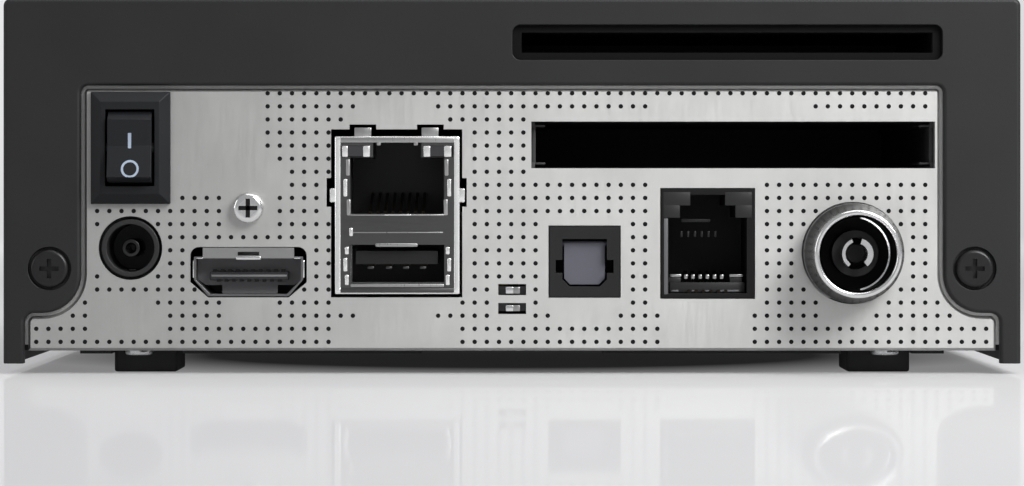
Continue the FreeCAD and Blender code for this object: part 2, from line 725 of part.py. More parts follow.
def front_window():
    return bar(0, WINDOW_Z, WINDOW_WIDTH, WINDOW_HEIGHT, FRONT_Y - WINDOW_THICKNESS, FRONT_Y)


def standby_button():
    cap_back = FRONT_Y + BUTTON_PROUD - BUTTON_CAP_THICKNESS - BEZEL_WALL
    cap = rod(BUTTON_X, WINDOW_Z, BUTTON_DIAMETER, cap_back, FRONT_Y + BUTTON_PROUD)
    edge = [e for e in cap.Edges if e.BoundBox.YMin > FRONT_Y]
    cap = cap.makeFillet(BEZEL_EDGE_RADIUS / 2, edge)
    rim = rod(
        BUTTON_X, WINDOW_Z, BUTTON_DIAMETER + 2 * (BUTTON_GAP + BUTTON_RIM),
        cap_back, BEZEL_INNER - BUTTON_GAP,
    )
    stem = rod(BUTTON_X, WINDOW_Z, BUTTON_STEM_DIAMETER, BUTTON_STEM_TIP, cap_back)
    return joined([cap, rim, stem])


TACT_FACE = FRONT_BOARD_FACE + TACT_HEIGHT
BUTTON_STEM_TIP = TACT_FACE + BUTTON_TRAVEL + BUTT_GAP
FRONT_SCREW_Y = BEZEL_BACK - FOOT_WIDTH / 2
FLOOR_SCREW_TIP = BOARD_UNDER - FLOOR_SCREW_CLEARANCE


def front_electronics():
    """Board behind the front, its sensor, lamp, key switch and the header to the main board."""
    top = WINDOW_Z + FRONT_BOARD_HEIGHT / 2
    left = BUTTON_X - TACT_SIZE / 2 - SLIP_GAP
    board = block(
        left, INNER_HALF - FRONT_BOARD_SIDE_GAP, FRONT_BOARD_BACK, FRONT_BOARD_FACE,
        top - FRONT_BOARD_HEIGHT, top,
    )
    save("front_board", board)
    sensor_y = FRONT_BOARD_FACE + SENSOR_DEPTH
    sensor = bar(SENSOR_X, WINDOW_Z, SENSOR_WIDTH, SENSOR_HEIGHT, FRONT_BOARD_FACE, sensor_y)
    dome = Part.makeSphere(SENSOR_WIDTH / 3, vec(SENSOR_X, sensor_y, WINDOW_Z))
    save("ir_receiver", joined([sensor, dome]))
    lamp_y = FRONT_BOARD_FACE + LED_LAMP_LENGTH
    lamp = rod(LED_LAMP_X, WINDOW_Z, LED_LAMP_DIAMETER, FRONT_BOARD_FACE, lamp_y)
    tip = Part.makeSphere(LED_LAMP_DIAMETER / 2, vec(LED_LAMP_X, lamp_y, WINDOW_Z))
    save("status_led", joined([lamp, tip]))
    key = bar(BUTTON_X, WINDOW_Z, TACT_SIZE, TACT_SIZE, FRONT_BOARD_FACE, TACT_FACE)
    save("button_switch", key)
    low = top - FRONT_BOARD_HEIGHT
    shelf = block(
        -HEADER_WIDTH / 2, HEADER_WIDTH / 2, BOARD_FRONT - HEADER_DEPTH, BOARD_FRONT,
        BOARD_TOP, low + HEADER_HEIGHT,
    )
    arm = block(
        -HEADER_WIDTH / 2, HEADER_WIDTH / 2, BOARD_FRONT, FRONT_BOARD_BACK, low, low + HEADER_HEIGHT,
    )
    save("front_header", joined([shelf, arm]))


# ---------------------------------------------------------------- rear panel
def stack_notches():
    """Notches in the panel for the spring tabs of the network and USB stack."""
    y0 = FACE_Y - OVERCUT
    y1 = PANEL_BACK + OVERCUT
    hole_top = STACK_TOP + STACK_HOLE_RISE
    notches = []
    for x in both_sides(TAB_X):
        notches.append(block(
            STACK_X + x - TAB_NOTCH_WIDTH / 2, STACK_X + x + TAB_NOTCH_WIDTH / 2,
            y0, y1, hole_top - OVERCUT, hole_top + TAB_NOTCH_RISE,
        ))
    span = STACK_WIDTH + 2 * STACK_SIDE
    notches.append(bar(STACK_X, SIDE_NOTCH_Z, span, SIDE_NOTCH_HEIGHT, y0, y1))
    return notches


def panel_cuts():
    """Every opening through the panel."""
    y0 = FACE_Y - OVERCUT
    y1 = PANEL_BACK + OVERCUT
    switch_width = SWITCH_BODY_WIDTH + 2 * BUTT_GAP
    switch_height = SWITCH_BODY_HEIGHT + 2 * BUTT_GAP
    optical = OPTICAL_SIZE + 2 * OPTICAL_HOLE_GAP
    cuts = [
        bar(SWITCH_X, SWITCH_Z, switch_width, switch_height, y0, y1),
        rod(DC_X, DC_Z, DC_HOLE_DIAMETER, y0, y1),
        rod(PANEL_SCREW_X, PANEL_SCREW_Z, SCREW_SHANK_DIAMETER + 2 * SHANK_GAP, y0, y1),
        bar(OPTICAL_X, OPTICAL_Z, optical, optical, y0, y1),
        rod(RF_X, RF_Z, RF_HOLE_DIAMETER, y0, y1),
        bar(CI_X, CI_Z, CI_WIDTH, CI_HEIGHT, y0, y1),
    ]
    half = HDMI_HOLE_WIDTH / 2
    low = HDMI_FLOOR_WIDTH / 2 + HDMI_SHEET
    bottom = HDMI_HOLE_FLOOR - HDMI_SHEET
    knee = HDMI_TOP - HDMI_SIDE_HEIGHT - HDMI_SHEET
    mouth = prism([
        (HDMI_X - half, HDMI_HOLE_TOP), (HDMI_X + half, HDMI_HOLE_TOP), (HDMI_X + half, knee),
        (HDMI_X + low, bottom), (HDMI_X - low, bottom),
        (HDMI_X - half, knee),
    ], y0, y1)
    corners = edges_along(mouth, vec(0, 1, 0), lambda p: p.z > HDMI_HOLE_TOP - OVERCUT)
    cuts.append(mouth.makeFillet(HDMI_HOLE_RADIUS, corners))
    half = STACK_WIDTH / 2 + STACK_HOLE_MARGIN
    cuts.append(block(
        STACK_X - half, STACK_X + half, y0, y1,
        STACK_FLOOR - STACK_HOLE_MARGIN, STACK_TOP + STACK_HOLE_RISE,
    ))
    cuts += stack_notches()
    cuts.append(block(
        SERIAL_X - SERIAL_WIDTH / 2 - SERIAL_HOLE_GAP,
        SERIAL_X + SERIAL_WIDTH / 2 + SERIAL_HOLE_GAP, y0, y1,
        SERIAL_FLOOR - SERIAL_HOLE_GAP, SERIAL_TOP + SERIAL_HOLE_GAP,
    ))
    for z in (CLIP_UPPER_Z, CLIP_LOWER_Z):
        cuts.append(bar(CLIP_X, z, CLIP_SLOT_WIDTH, CLIP_SLOT_HEIGHT, y0, y1))
    for x in both_sides(SCREW_X):
        cuts.append(rod(x, SCREW_Z, SCREW_SHANK_DIAMETER, y0, y1))
    return cuts


def rear_panel():
    flange_top = OPENING_TOP + PANEL_FLANGE_RISE
    flange = block(-BASE_HALF, BASE_HALF, FLANGE_Y, PANEL_BACK, BASE_TOP, flange_top)
    base_wire = panel_outline(-EMBOSS_GAP, FOOT_HEIGHT, FLANGE_Y)
    face_wire = panel_outline(-EMBOSS_GAP - EMBOSS_SLOPE, FOOT_HEIGHT + EMBOSS_BEND, FACE_Y)
    emboss = Part.makeLoft([base_wire, face_wire], True, True)
    foot = panel_slab(-EMBOSS_GAP, FOOT_HEIGHT, FLANGE_Y, PANEL_BACK)
    inset = -EMBOSS_GAP - EMBOSS_SLOPE - PANEL_THICKNESS / 2
    pocket = panel_slab(inset, BASE_TOP, FACE_BACK, PANEL_BACK + OVERCUT)
    lip_half = SKIRT_HALF + inset
    lip_top = BASE_TOP + PANEL_THICKNESS
    lip = block(-lip_half, lip_half, FACE_BACK, PANEL_BACK + LIP_DEPTH, BASE_TOP, lip_top)
    panel = joined([joined([flange, foot, emboss]).cut(pocket), lip])
    cuts = panel_cuts()
    for x in both_sides(FLOOR_SCREW_X):
        cuts.append(post(x, REAR_SCREW_Y, SCREW_SHANK_DIAMETER, 0, lip_top + OVERCUT))
    return less(panel, cuts)


REAR_SCREW_Y = FLANGE_Y + FLOOR_SCREW_INSET


# ---------------------------------------------------------------- floor
BASE_REAR = PANEL_BACK + BUTT_GAP
BASE_FRONT = BEZEL_INNER - SLIP_GAP
FRONT_FOOT_Y = BEZEL_BACK - FOOT_INSET - FOOT_LENGTH
REAR_FOOT_Y = FLANGE_Y + REAR_FOOT_INSET


def base_plate():
    parts = [block(-BASE_HALF, BASE_HALF, BASE_REAR, BASE_FRONT, FOOT_HEIGHT, BASE_TOP)]
    rib_low = FOOT_HEIGHT - RIB_HEIGHT
    for side in both_sides(1):
        outer = side * BASE_HALF
        inner = side * (BASE_HALF - BASE_THICKNESS)
        parts.append(block(
            min(outer, inner), max(outer, inner), BASE_REAR, BEZEL_BACK, FOOT_HEIGHT,
            BASE_TOP + BASE_FLANGE_HEIGHT,
        ))
        for y in (BASE_REAR + RIB_INSET, BEZEL_BACK - RIB_INSET - RIB_WIDTH):
            near = min(side * RIB_INNER_X, side * RIB_OUTER_X)
            far = max(side * RIB_INNER_X, side * RIB_OUTER_X)
            parts.append(block(near, far, y, y + RIB_WIDTH, rib_low, FOOT_HEIGHT + BUTT_GAP))
            parts.append(block(
                side * DIMPLE_X - DIMPLE_WIDTH / 2, side * DIMPLE_X + DIMPLE_WIDTH / 2,
                y, y + DIMPLE_LENGTH, rib_low, FOOT_HEIGHT + BUTT_GAP,
            ))
    cuts = []
    for side in both_sides(FLOOR_VENT_X):
        for y in row(FLOOR_VENT_COUNT, FLOOR_VENT_PITCH):
            cuts.append(block(
                side - FLOOR_VENT_LENGTH / 2, side + FLOOR_VENT_LENGTH / 2,
                y - FLOOR_VENT_WIDTH / 2, y + FLOOR_VENT_WIDTH / 2,
                FOOT_HEIGHT - OVERCUT, BASE_TOP + OVERCUT,
            ))
    for x, y in floor_screw_places():
        cuts.append(post(x, y, SCREW_SHANK_DIAMETER + 2 * SHANK_GAP, 0, BASE_TOP + OVERCUT))
    return less(joined(parts), cuts)


def floor_screw_places():
    return [(x, y) for x in both_sides(FLOOR_SCREW_X) for y in (REAR_SCREW_Y, FRONT_SCREW_Y)]


def feet():
    pads = []
    for x in both_sides(FOOT_X):
        for y in (REAR_FOOT_Y, FRONT_FOOT_Y):
            pad = block(x - FOOT_WIDTH / 2, x + FOOT_WIDTH / 2, y, y + FOOT_LENGTH, 0, FOOT_HEIGHT)
            corners = edges_along(pad, vec(0, 0, 1), lambda p: True)
            pads.append(pad.makeFillet(FOOT_EDGE_RADIUS, corners))
    return group(pads)


# ---------------------------------------------------------------- screws
def cross_cut(depth):
    """Cross recess for a driver, at the origin and sunk along +Z."""
    span = CROSS_SPAN / 2
    long_way = block(-span, span, -CROSS_WIDTH / 2, CROSS_WIDTH / 2, 0, depth)
    return long_way.fuse(long_way.rotated(vec(0, 0, 0), vec(0, 0, 1), 90))


def screw(head, thickness, length, dome):
    """Screw with its shank along +Z, the head's crown at the origin and a cross recess."""
    crown = Part.makeCylinder(head / 2, thickness)
    rim = [e for e in crown.Edges if e.BoundBox.ZMax < thickness / 2]
    crown = crown.makeFillet(dome, rim)
    shank = Part.makeCylinder(SCREW_SHANK_DIAMETER / 2, length, vec(0, 0, thickness))
    return joined([crown, shank]).cut(cross_cut(CROSS_DEPTH))


def facing_rear(shape, x, y, z):
    """Turn a screw so that its shank runs along +Y from x, y, z."""
    turned = shape.rotated(vec(0, 0, 0), vec(1, 0, 0), -90)
    return turned.translated(vec(x, y, z))


def screws():
    cover = screw(SCREW_HEAD_DIAMETER, SCREW_HEAD_THICKNESS, SCREW_LENGTH, SCREW_HEAD_THICKNESS / 2)
    crown_y = REAR_Y + SCREW_RECESS_DEPTH - SCREW_HEAD_THICKNESS
    pair = [facing_rear(cover, x, crown_y, SCREW_Z) for x in both_sides(SCREW_X)]
    save("cover_screws", group(pair))
    pan = screw(PAN_HEAD_DIAMETER, PAN_HEAD_THICKNESS, SCREW_LENGTH, PAN_HEAD_THICKNESS / 2)
    pan = facing_rear(pan, PANEL_SCREW_X, FACE_Y - PAN_HEAD_THICKNESS, PANEL_SCREW_Z)
    save("panel_screw", pan)
    reach = FLOOR_SCREW_TIP - FOOT_HEIGHT
    low = screw(FLOOR_HEAD_DIAMETER, FLOOR_HEAD_THICKNESS, reach, FLOOR_HEAD_THICKNESS / 2)
    crown_z = FOOT_HEIGHT - FLOOR_HEAD_THICKNESS
    four = [low.translated(vec(x, y, crown_z)) for x, y in floor_screw_places()]
    save("bottom_screws", group(four))


# ---------------------------------------------------------------- boards
def board_hole_places():
    ends = (BOARD_REAR + BOARD_HOLE_INSET, BOARD_FRONT - BOARD_HOLE_INSET)
    return [(x, y) for x in both_sides(BOARD_HOLE_X) for y in ends]


def card_post_places():
    sides = (CARD_BOARD_LEFT + STANDOFF_DIAMETER / 2, CARD_BOARD_RIGHT - CARD_POST_EDGE)
    ends = (CARD_BOARD_REAR + CARD_POST_INSET, CARD_BOARD_FRONT - CARD_POST_INSET)
    return [(x, y) for x in sides for y in ends]


def boards():
    hole = SCREW_SHANK_DIAMETER + 2 * SHANK_GAP
    main = block(
        -BOARD_HALF_WIDTH, BOARD_HALF_WIDTH, BOARD_REAR, BOARD_FRONT, BOARD_UNDER, BOARD_TOP,
    )
    holes = []
    studs = []
    for x, y in board_hole_places():
        holes.append(post(x, y, hole, BOARD_UNDER - OVERCUT, BOARD_TOP + OVERCUT))
        thread = post(x, y, SCREW_SHANK_DIAMETER, BASE_TOP + OVERCUT, BOARD_UNDER + OVERCUT)
        studs.append(post(x, y, STANDOFF_DIAMETER, BASE_TOP, BOARD_UNDER).cut(thread))
    save("main_board", less(main, holes))
    save("board_standoffs", group(studs))
    save("card_board", block(
        CARD_BOARD_LEFT, CARD_BOARD_RIGHT, CARD_BOARD_REAR, CARD_BOARD_FRONT,
        CARD_BOARD_UNDER, CARD_BOARD_TOP,
    ))
    save("card_standoffs", group([
        post(x, y, STANDOFF_DIAMETER, BOARD_TOP, CARD_BOARD_UNDER) for x, y in card_post_places()
    ]))
    fixings = []
    length = BOARD_THICKNESS + BOARD_UNDER - BASE_TOP - OVERCUT - BUTT_GAP
    for x, y in board_hole_places():
        fixing = screw(BOARD_SCREW_HEAD, BOARD_SCREW_THICKNESS, length, BOARD_SCREW_THICKNESS / 2)
        fixing = fixing.rotated(vec(0, 0, 0), vec(1, 0, 0), 180)
        fixings.append(fixing.translated(vec(x, y, BOARD_TOP + BOARD_SCREW_THICKNESS)))
    save("board_screws", group(fixings))


# ---------------------------------------------------------------- power switch
def switch_frame():
    """Bezel and box of the rocker switch, with the well that the rocker sits in."""
    plate_y = FACE_Y - BEZEL_PLATE_THICKNESS
    rim_y = FACE_Y - BEZEL_RIM_THICKNESS
    rim = bar(SWITCH_X, SWITCH_Z, BEZEL_PLATE_WIDTH, BEZEL_PLATE_HEIGHT, rim_y, FACE_Y)
    slope = Part.makeLoft([
        rectangle(SWITCH_X, SWITCH_Z, BEZEL_PLATE_WIDTH, BEZEL_PLATE_HEIGHT, rim_y),
        rectangle(
            SWITCH_X, SWITCH_Z, BEZEL_PLATE_WIDTH - 2 * BEZEL_SLOPE_WIDTH,
            BEZEL_PLATE_HEIGHT - 2 * BEZEL_SLOPE_WIDTH, plate_y,
        ),
    ], True, True)
    plate = rim.fuse(slope)
    body = bar(
        SWITCH_X, SWITCH_Z, SWITCH_BODY_WIDTH, SWITCH_BODY_HEIGHT,
        FACE_Y, FACE_Y + SWITCH_BODY_DEPTH,
    )
    well = bar(
        SWITCH_X, SWITCH_Z, ROCKER_WIDTH + 2 * ROCKER_GAP, ROCKER_HEIGHT + 2 * ROCKER_GAP,
        plate_y - OVERCUT, plate_y + SWITCH_WELL_DEPTH,
    )
    pin_reach = ROCKER_WIDTH / 2 + ROCKER_PIN_LENGTH + PIVOT_GAP
    bore = Part.makeCylinder(
        ROCKER_PIN_DIAMETER / 2 + PIVOT_GAP, 2 * pin_reach,
        vec(SWITCH_X - pin_reach, ROCKER_PIVOT_Y, SWITCH_Z), vec(1, 0, 0),
    )
    save("switch_body", less(joined([plate, body]), [well, bore]))


ROCKER_PIVOT_Y = FACE_Y - BEZEL_PLATE_THICKNESS + ROCKER_PIVOT_IN
SWITCH_WELL_DEPTH = ROCKER_PIVOT_IN + ROCKER_DEPTH + SLIP_GAP


def switch_rocker():
    """Rocker paddle: two flats that meet in a shallow valley, tilted to its rest position."""
    half = ROCKER_HEIGHT / 2
    lean = math.tan(math.radians(ROCKER_TILT)) * half
    face = ROCKER_PIVOT_Y - ROCKER_PIVOT_IN - ROCKER_PROUD
    outline = [
        (face - lean, SWITCH_Z + half - ROCKER_TOP_FACET), (face, SWITCH_Z),
        (face - lean, SWITCH_Z - half + ROCKER_FOOT_FACET),
        (face + ROCKER_PROUD, SWITCH_Z - half), (ROCKER_PIVOT_Y + ROCKER_PIVOT_IN, SWITCH_Z - half),
        (ROCKER_PIVOT_Y + ROCKER_DEPTH - ROCKER_PIVOT_IN, SWITCH_Z),
        (ROCKER_PIVOT_Y + ROCKER_PIVOT_IN, SWITCH_Z + half), (face + ROCKER_PROUD, SWITCH_Z + half),
    ]
    corners = [vec(SWITCH_X - ROCKER_WIDTH / 2, y, z) for y, z in outline]
    paddle = Part.Face(Part.makePolygon(corners + corners[:1])).extrude(vec(ROCKER_WIDTH, 0, 0))
    reach = ROCKER_WIDTH / 2 + ROCKER_PIN_LENGTH
    pin = Part.makeCylinder(
        ROCKER_PIN_DIAMETER / 2, 2 * reach, vec(SWITCH_X - reach, ROCKER_PIVOT_Y, SWITCH_Z), vec(1, 0, 0),
    )
    whole = joined([paddle, pin])
    return whole.rotated(vec(SWITCH_X, ROCKER_PIVOT_Y, SWITCH_Z), vec(1, 0, 0), -ROCKER_TILT)


def switch_wiring():
    """Two blade terminals, the two wires on them and the plug on the main board."""
    back = FACE_Y + SWITCH_BODY_DEPTH
    blades = []
    wires = []
    for end in (-1, 1):
        z = SWITCH_Z + end * TERMINAL_SPREAD / 2
        blades.append(bar(SWITCH_X, z, 2 * WIRE_DIAMETER, WIRE_DIAMETER / 2, back, back + TERMINAL_LENGTH))
        start = vec(SWITCH_X, back + TERMINAL_LENGTH, z)
        corner = vec(SWITCH_X, PLUG_Y + end * WIRE_SPREAD / 2, z)
        finish = vec(SWITCH_X, corner.y, BOARD_TOP + SWITCH_PLUG_HEIGHT)
        wires.append(bent_wire(start, corner, finish))
    save("switch_terminals", group(blades))
    save("switch_wires", group(wires))
    plug = block(
        SWITCH_X - SWITCH_PLUG_WIDTH / 2, SWITCH_X + SWITCH_PLUG_WIDTH / 2,
        PLUG_Y - SWITCH_PLUG_LENGTH / 2, PLUG_Y + SWITCH_PLUG_LENGTH / 2,
        BOARD_TOP, BOARD_TOP + SWITCH_PLUG_HEIGHT,
    )
    save("switch_plug", plug)


def bent_wire(start, corner, finish):
    """Round wire along Y and then down, with one large tangent bend."""
    bend = 0.8 * min(abs(corner.y - start.y), abs(corner.z - finish.z))
    first = vec(corner.x, corner.y - bend, corner.z)
    last = vec(corner.x, corner.y, corner.z - bend)
    slack = bend * (1 - math.sin(math.radians(45)))
    middle = vec(corner.x, corner.y - slack, corner.z - slack)
    path = Part.Wire([
        Part.LineSegment(start, first).toShape(),
        Part.Arc(first, middle, last).toShape(),
        Part.LineSegment(last, finish).toShape(),
    ])
    section = Part.Wire(Part.makeCircle(WIRE_DIAMETER / 2, start, vec(0, 1, 0)))
    return path.makePipeShell([section], True, False)


# ---------------------------------------------------------------- 12 V inlet
def dc_inlet():
    body_front = PANEL_BACK + BUTT_GAP
    body_back = body_front + DC_BODY_DEPTH
    body = bar(DC_X, DC_Z, DC_BODY_WIDTH, DC_BODY_HEIGHT, body_front, body_back)
    leg = block(
        DC_X - DC_BODY_WIDTH / 2, DC_X + DC_BODY_WIDTH / 2, BOARD_REAR, body_back, BOARD_TOP,
        DC_Z - DC_BODY_HEIGHT / 2 + BUTT_GAP,
    )
    nose = rod(DC_X, DC_Z, DC_NOSE_DIAMETER, FACE_Y, body_front + BUTT_GAP)
    bore = rod(DC_X, DC_Z, DC_BORE_DIAMETER, FACE_Y - OVERCUT, FACE_Y + DC_BORE_DEPTH)
    save("dc_jack_body", less(joined([body, leg, nose]), [bore]))
    pin = rod(DC_X, DC_Z, DC_PIN_DIAMETER, FACE_Y + DC_PIN_SETBACK, FACE_Y + DC_BORE_DEPTH)
    tip = [e for e in pin.Edges if e.BoundBox.YMax < FACE_Y + DC_PIN_SETBACK + 0.01]
    save("dc_jack_pin", pin.makeFillet(DC_PIN_DIAMETER / 3, tip))


# ---------------------------------------------------------------- hdmi socket
def hdmi_profile(grow):
    """Outline of the shell's mouth, offset outwards by grow."""
    half = HDMI_WIDTH / 2 + grow
    low = HDMI_FLOOR_WIDTH / 2 + grow
    top = HDMI_TOP + grow
    knee = HDMI_TOP - HDMI_SIDE_HEIGHT
    floor = HDMI_TOP - HDMI_HEIGHT - grow
    return [
        (HDMI_X - half, top), (HDMI_X + half, top), (HDMI_X + half, knee),
        (HDMI_X + low, floor), (HDMI_X - low, floor), (HDMI_X - half, knee),
    ]


def hdmi_socket():
    back = FACE_Y + HDMI_DEPTH
    shell = prism(hdmi_profile(HDMI_SHEET), FACE_Y, back)
    inside = prism(hdmi_profile(0), FACE_Y - OVERCUT, back - HDMI_SHEET)
    flange_low = HDMI_TOP + BUTT_GAP
    flange = block(
        HDMI_X - HDMI_FLANGE_WIDTH / 2, HDMI_X + HDMI_FLANGE_WIDTH / 2, FACE_Y, FACE_Y + HDMI_SHEET,
        flange_low, flange_low + HDMI_FLANGE_HEIGHT,
    )
    notch_low = flange_low + HDMI_NOTCH_RISE
    notch = block(
        HDMI_X - HDMI_NOTCH_WIDTH / 2, HDMI_X + HDMI_NOTCH_WIDTH / 2,
        FACE_Y - OVERCUT, FACE_Y + HDMI_SHEET + OVERCUT, notch_low, notch_low + HDMI_NOTCH_HEIGHT,
    )
    foot_top = HDMI_TOP - HDMI_HEIGHT - HDMI_SHEET
    foot = block(
        HDMI_X - HDMI_FLOOR_WIDTH / 2, HDMI_X + HDMI_FLOOR_WIDTH / 2, BOARD_REAR, back,
        BOARD_TOP, foot_top + HDMI_SHEET / 2,
    )
    save("hdmi_shell", joined([less(shell, [inside]), less(flange, [notch]), foot]))
    tongue_z = HDMI_TOP - HDMI_TONGUE_DROP - HDMI_TONGUE_THICKNESS / 2
    plug_back = prism(hdmi_profile(0), back - 4 * HDMI_SHEET, back - HDMI_SHEET)
    tongue = bar(
        HDMI_X, tongue_z, HDMI_TONGUE_WIDTH, HDMI_TONGUE_THICKNESS,
        FACE_Y + HDMI_TONGUE_SETBACK, back - 3 * HDMI_SHEET,
    )
    save("hdmi_tongue", joined([plug_back, tongue]))
    pins = []
    for side, count in ((1, HDMI_PIN_COUNT), (-1, HDMI_PIN_COUNT - 1)):
        z = tongue_z + side * (HDMI_TONGUE_THICKNESS + HDMI_PIN_THICKNESS) / 2
        for x in row(count, HDMI_PITCH):
            pins.append(bar(
                HDMI_X + x, z, HDMI_PIN_WIDTH, HDMI_PIN_THICKNESS,
                FACE_Y + 2 * HDMI_TONGUE_SETBACK, back - 4 * HDMI_SHEET,
            ))
    save("hdmi_contacts", group(pins))


# ---------------------------------------------------------------- network and usb stack
STACK_FRONT = FACE_Y - STACK_PROUD
STACK_BACK = STACK_FRONT + STACK_DEPTH
STACK_FACE_BACK = STACK_FRONT + STACK_SHEET
LAN_MIDDLE = LAN_FLOOR + LAN_HEIGHT / 2
USB_MIDDLE = USB_FLOOR + USB_HEIGHT / 2


def lan_mouth(y0, y1):
    """Network socket opening with its latch notch on top."""
    main = bar(STACK_X, LAN_MIDDLE, LAN_WIDTH, LAN_HEIGHT, y0, y1)
    latch_top = LAN_FLOOR + LAN_HEIGHT + LAN_LATCH_RISE
    latch = block(
        STACK_X - LAN_LATCH_WIDTH / 2, STACK_X + LAN_LATCH_WIDTH / 2, y0, y1, LAN_MIDDLE, latch_top,
    )
    return main.fuse(latch)


def led_windows(gap, y0, y1):
    return [
        bar(STACK_X + x, LED_Z, LED_WIDTH + 2 * gap, LED_HEIGHT + 2 * gap, y0, y1)
        for x in both_sides(LED_X)
    ]


def spring_tab(width, reach, length):
    """Small sprung finger that leans out of a wall: a wedge along Y, based at the origin."""
    points = [vec(-width / 2, 0, 0), vec(-width / 2, 0, reach), vec(-width / 2, length, 0)]
    return Part.Face(Part.makePolygon(points + points[:1])).extrude(vec(width, 0, 0))


def stack_shell():
    half = STACK_WIDTH / 2
    outer = block(STACK_X - half, STACK_X + half, STACK_FRONT, STACK_BACK, STACK_FLOOR, STACK_TOP)
    hollow = block(
        STACK_X - half + STACK_SHEET, STACK_X + half - STACK_SHEET,
        STACK_FACE_BACK, STACK_BACK - STACK_SHEET,
        STACK_FLOOR + STACK_SHEET, STACK_TOP - STACK_SHEET,
    )
    openings = [lan_mouth(STACK_FRONT - OVERCUT, STACK_FACE_BACK + OVERCUT)]
    openings += led_windows(0, STACK_FRONT - OVERCUT, STACK_FACE_BACK + OVERCUT)
    openings.append(bar(
        STACK_X, USB_MIDDLE, USB_WIDTH, USB_HEIGHT, STACK_FRONT - OVERCUT, STACK_FACE_BACK + OVERCUT,
    ))
    sleeve = bar(
        STACK_X, USB_MIDDLE, USB_WIDTH + 2 * STACK_SHEET, USB_HEIGHT + 2 * STACK_SHEET,
        STACK_FACE_BACK - STACK_SHEET / 2, STACK_FRONT + USB_DEPTH,
    )
    sleeve = sleeve.cut(bar(
        STACK_X, USB_MIDDLE, USB_WIDTH, USB_HEIGHT,
        STACK_FRONT - OVERCUT, STACK_FRONT + USB_DEPTH + OVERCUT,
    ))
    tabs = []
    for x in both_sides(TAB_X):
        tab = spring_tab(TAB_WIDTH, TAB_REACH, TAB_LENGTH)
        tabs.append(tab.translated(vec(STACK_X + x, STACK_FRONT, STACK_TOP)))
    for side in (-1, 1):
        tab = spring_tab(TAB_WIDTH, TAB_REACH, TAB_LENGTH).rotated(vec(0, 0, 0), vec(0, 1, 0), side * 90)
        tabs.append(tab.translated(vec(STACK_X + side * half, STACK_FRONT, SIDE_NOTCH_Z)))
    feet_under = block(
        STACK_X - half, STACK_X + half, BOARD_REAR, STACK_BACK,
        BOARD_TOP, STACK_FLOOR + STACK_SHEET / 2,
    )
    return joined([less(outer, [hollow] + openings), sleeve, feet_under] + tabs)


def lan_usb_stack():
    save("lan_usb_shell", stack_shell())
    inner_half = STACK_WIDTH / 2 - STACK_SHEET
    usb_top = USB_FLOOR + USB_HEIGHT + STACK_SHEET
    insert = block(
        STACK_X - inner_half, STACK_X + inner_half, STACK_FACE_BACK, STACK_BACK - STACK_SHEET,
        usb_top, STACK_TOP - STACK_SHEET,
    )
    cuts = [lan_mouth(STACK_FRONT, STACK_FRONT + LAN_DEPTH)]
    cuts += led_windows(0, STACK_FRONT, STACK_FRONT + LAN_DEPTH)
    save("lan_insert", less(insert, cuts))
    lights = led_windows(-BUTT_GAP / 2, STACK_FRONT, STACK_FRONT + LAN_DEPTH)
    save("lan_leds", group(lights))
    wires = []
    for x in row(LAN_CONTACT_COUNT, LAN_PITCH):
        low = vec(STACK_X + x, STACK_FRONT + OVERCUT, LAN_FLOOR)
        high = vec(STACK_X + x, STACK_FRONT + LAN_DEPTH, LAN_FLOOR + LAN_HEIGHT / 3)
        wires.append(slanted_wire(low, high, LAN_WIRE))
    save("lan_contacts", group(wires))
    tongue_top = USB_FLOOR + USB_HEIGHT - USB_TONGUE_DROP
    tongue_z = tongue_top - USB_TONGUE_THICKNESS / 2
    depth = STACK_FRONT + USB_DEPTH
    tip = STACK_FRONT + USB_TONGUE_SETBACK
    tongue = bar(STACK_X, tongue_z, USB_TONGUE_WIDTH, USB_TONGUE_THICKNESS, tip, depth)
    stop = bar(STACK_X, USB_MIDDLE, USB_WIDTH, USB_HEIGHT, depth - USB_TONGUE_SETBACK, depth)
    save("usb_tongue", joined([tongue, stop]))
    strips = []
    z = tongue_top - USB_TONGUE_THICKNESS - USB_CONTACT_THICKNESS / 2
    for x in row(4, USB_CONTACT_PITCH):
        strips.append(bar(
            STACK_X + x, z, USB_CONTACT_WIDTH, USB_CONTACT_THICKNESS,
            STACK_FRONT + 2 * USB_TONGUE_SETBACK, depth - USB_TONGUE_SETBACK,
        ))
    save("usb_contacts", group(strips))


def slanted_wire(low, high, size):
    """Square contact spring that slopes up from low to high in a YZ plane."""
    x0 = low.x - size / 2
    points = [
        vec(x0, low.y, low.z), vec(x0, high.y, high.z),
        vec(x0, high.y, high.z + size), vec(x0, low.y, low.z + size),
    ]
    return Part.Face(Part.makePolygon(points + points[:1])).extrude(vec(size, 0, 0))


# ---------------------------------------------------------------- ground clip
def ground_clip():
    """Folded clip on the board's edge: two fingers reach into the panel's small slots."""
    back = BOARD_REAR + CLIP_BODY_DEPTH
    top = CLIP_UPPER_Z + CLIP_TAB_THICKNESS / 2
    low = CLIP_LOWER_Z - CLIP_TAB_THICKNESS / 2
    spine = block(
        CLIP_X - CLIP_BODY_WIDTH / 2, CLIP_X + CLIP_BODY_WIDTH / 2,
        BOARD_REAR - CLIP_TAB_THICKNESS / 2, BOARD_REAR, low, top,
    )
    upper = block(
        CLIP_X - CLIP_BODY_WIDTH / 2, CLIP_X + CLIP_BODY_WIDTH / 2, BOARD_REAR, back, BOARD_TOP, top,
    )
    fingers = [
        bar(CLIP_X, z, CLIP_TAB_WIDTH, CLIP_TAB_THICKNESS, FACE_Y, BOARD_REAR)
        for z in (CLIP_UPPER_Z, CLIP_LOWER_Z)
    ]
    return joined([spine, upper] + fingers)


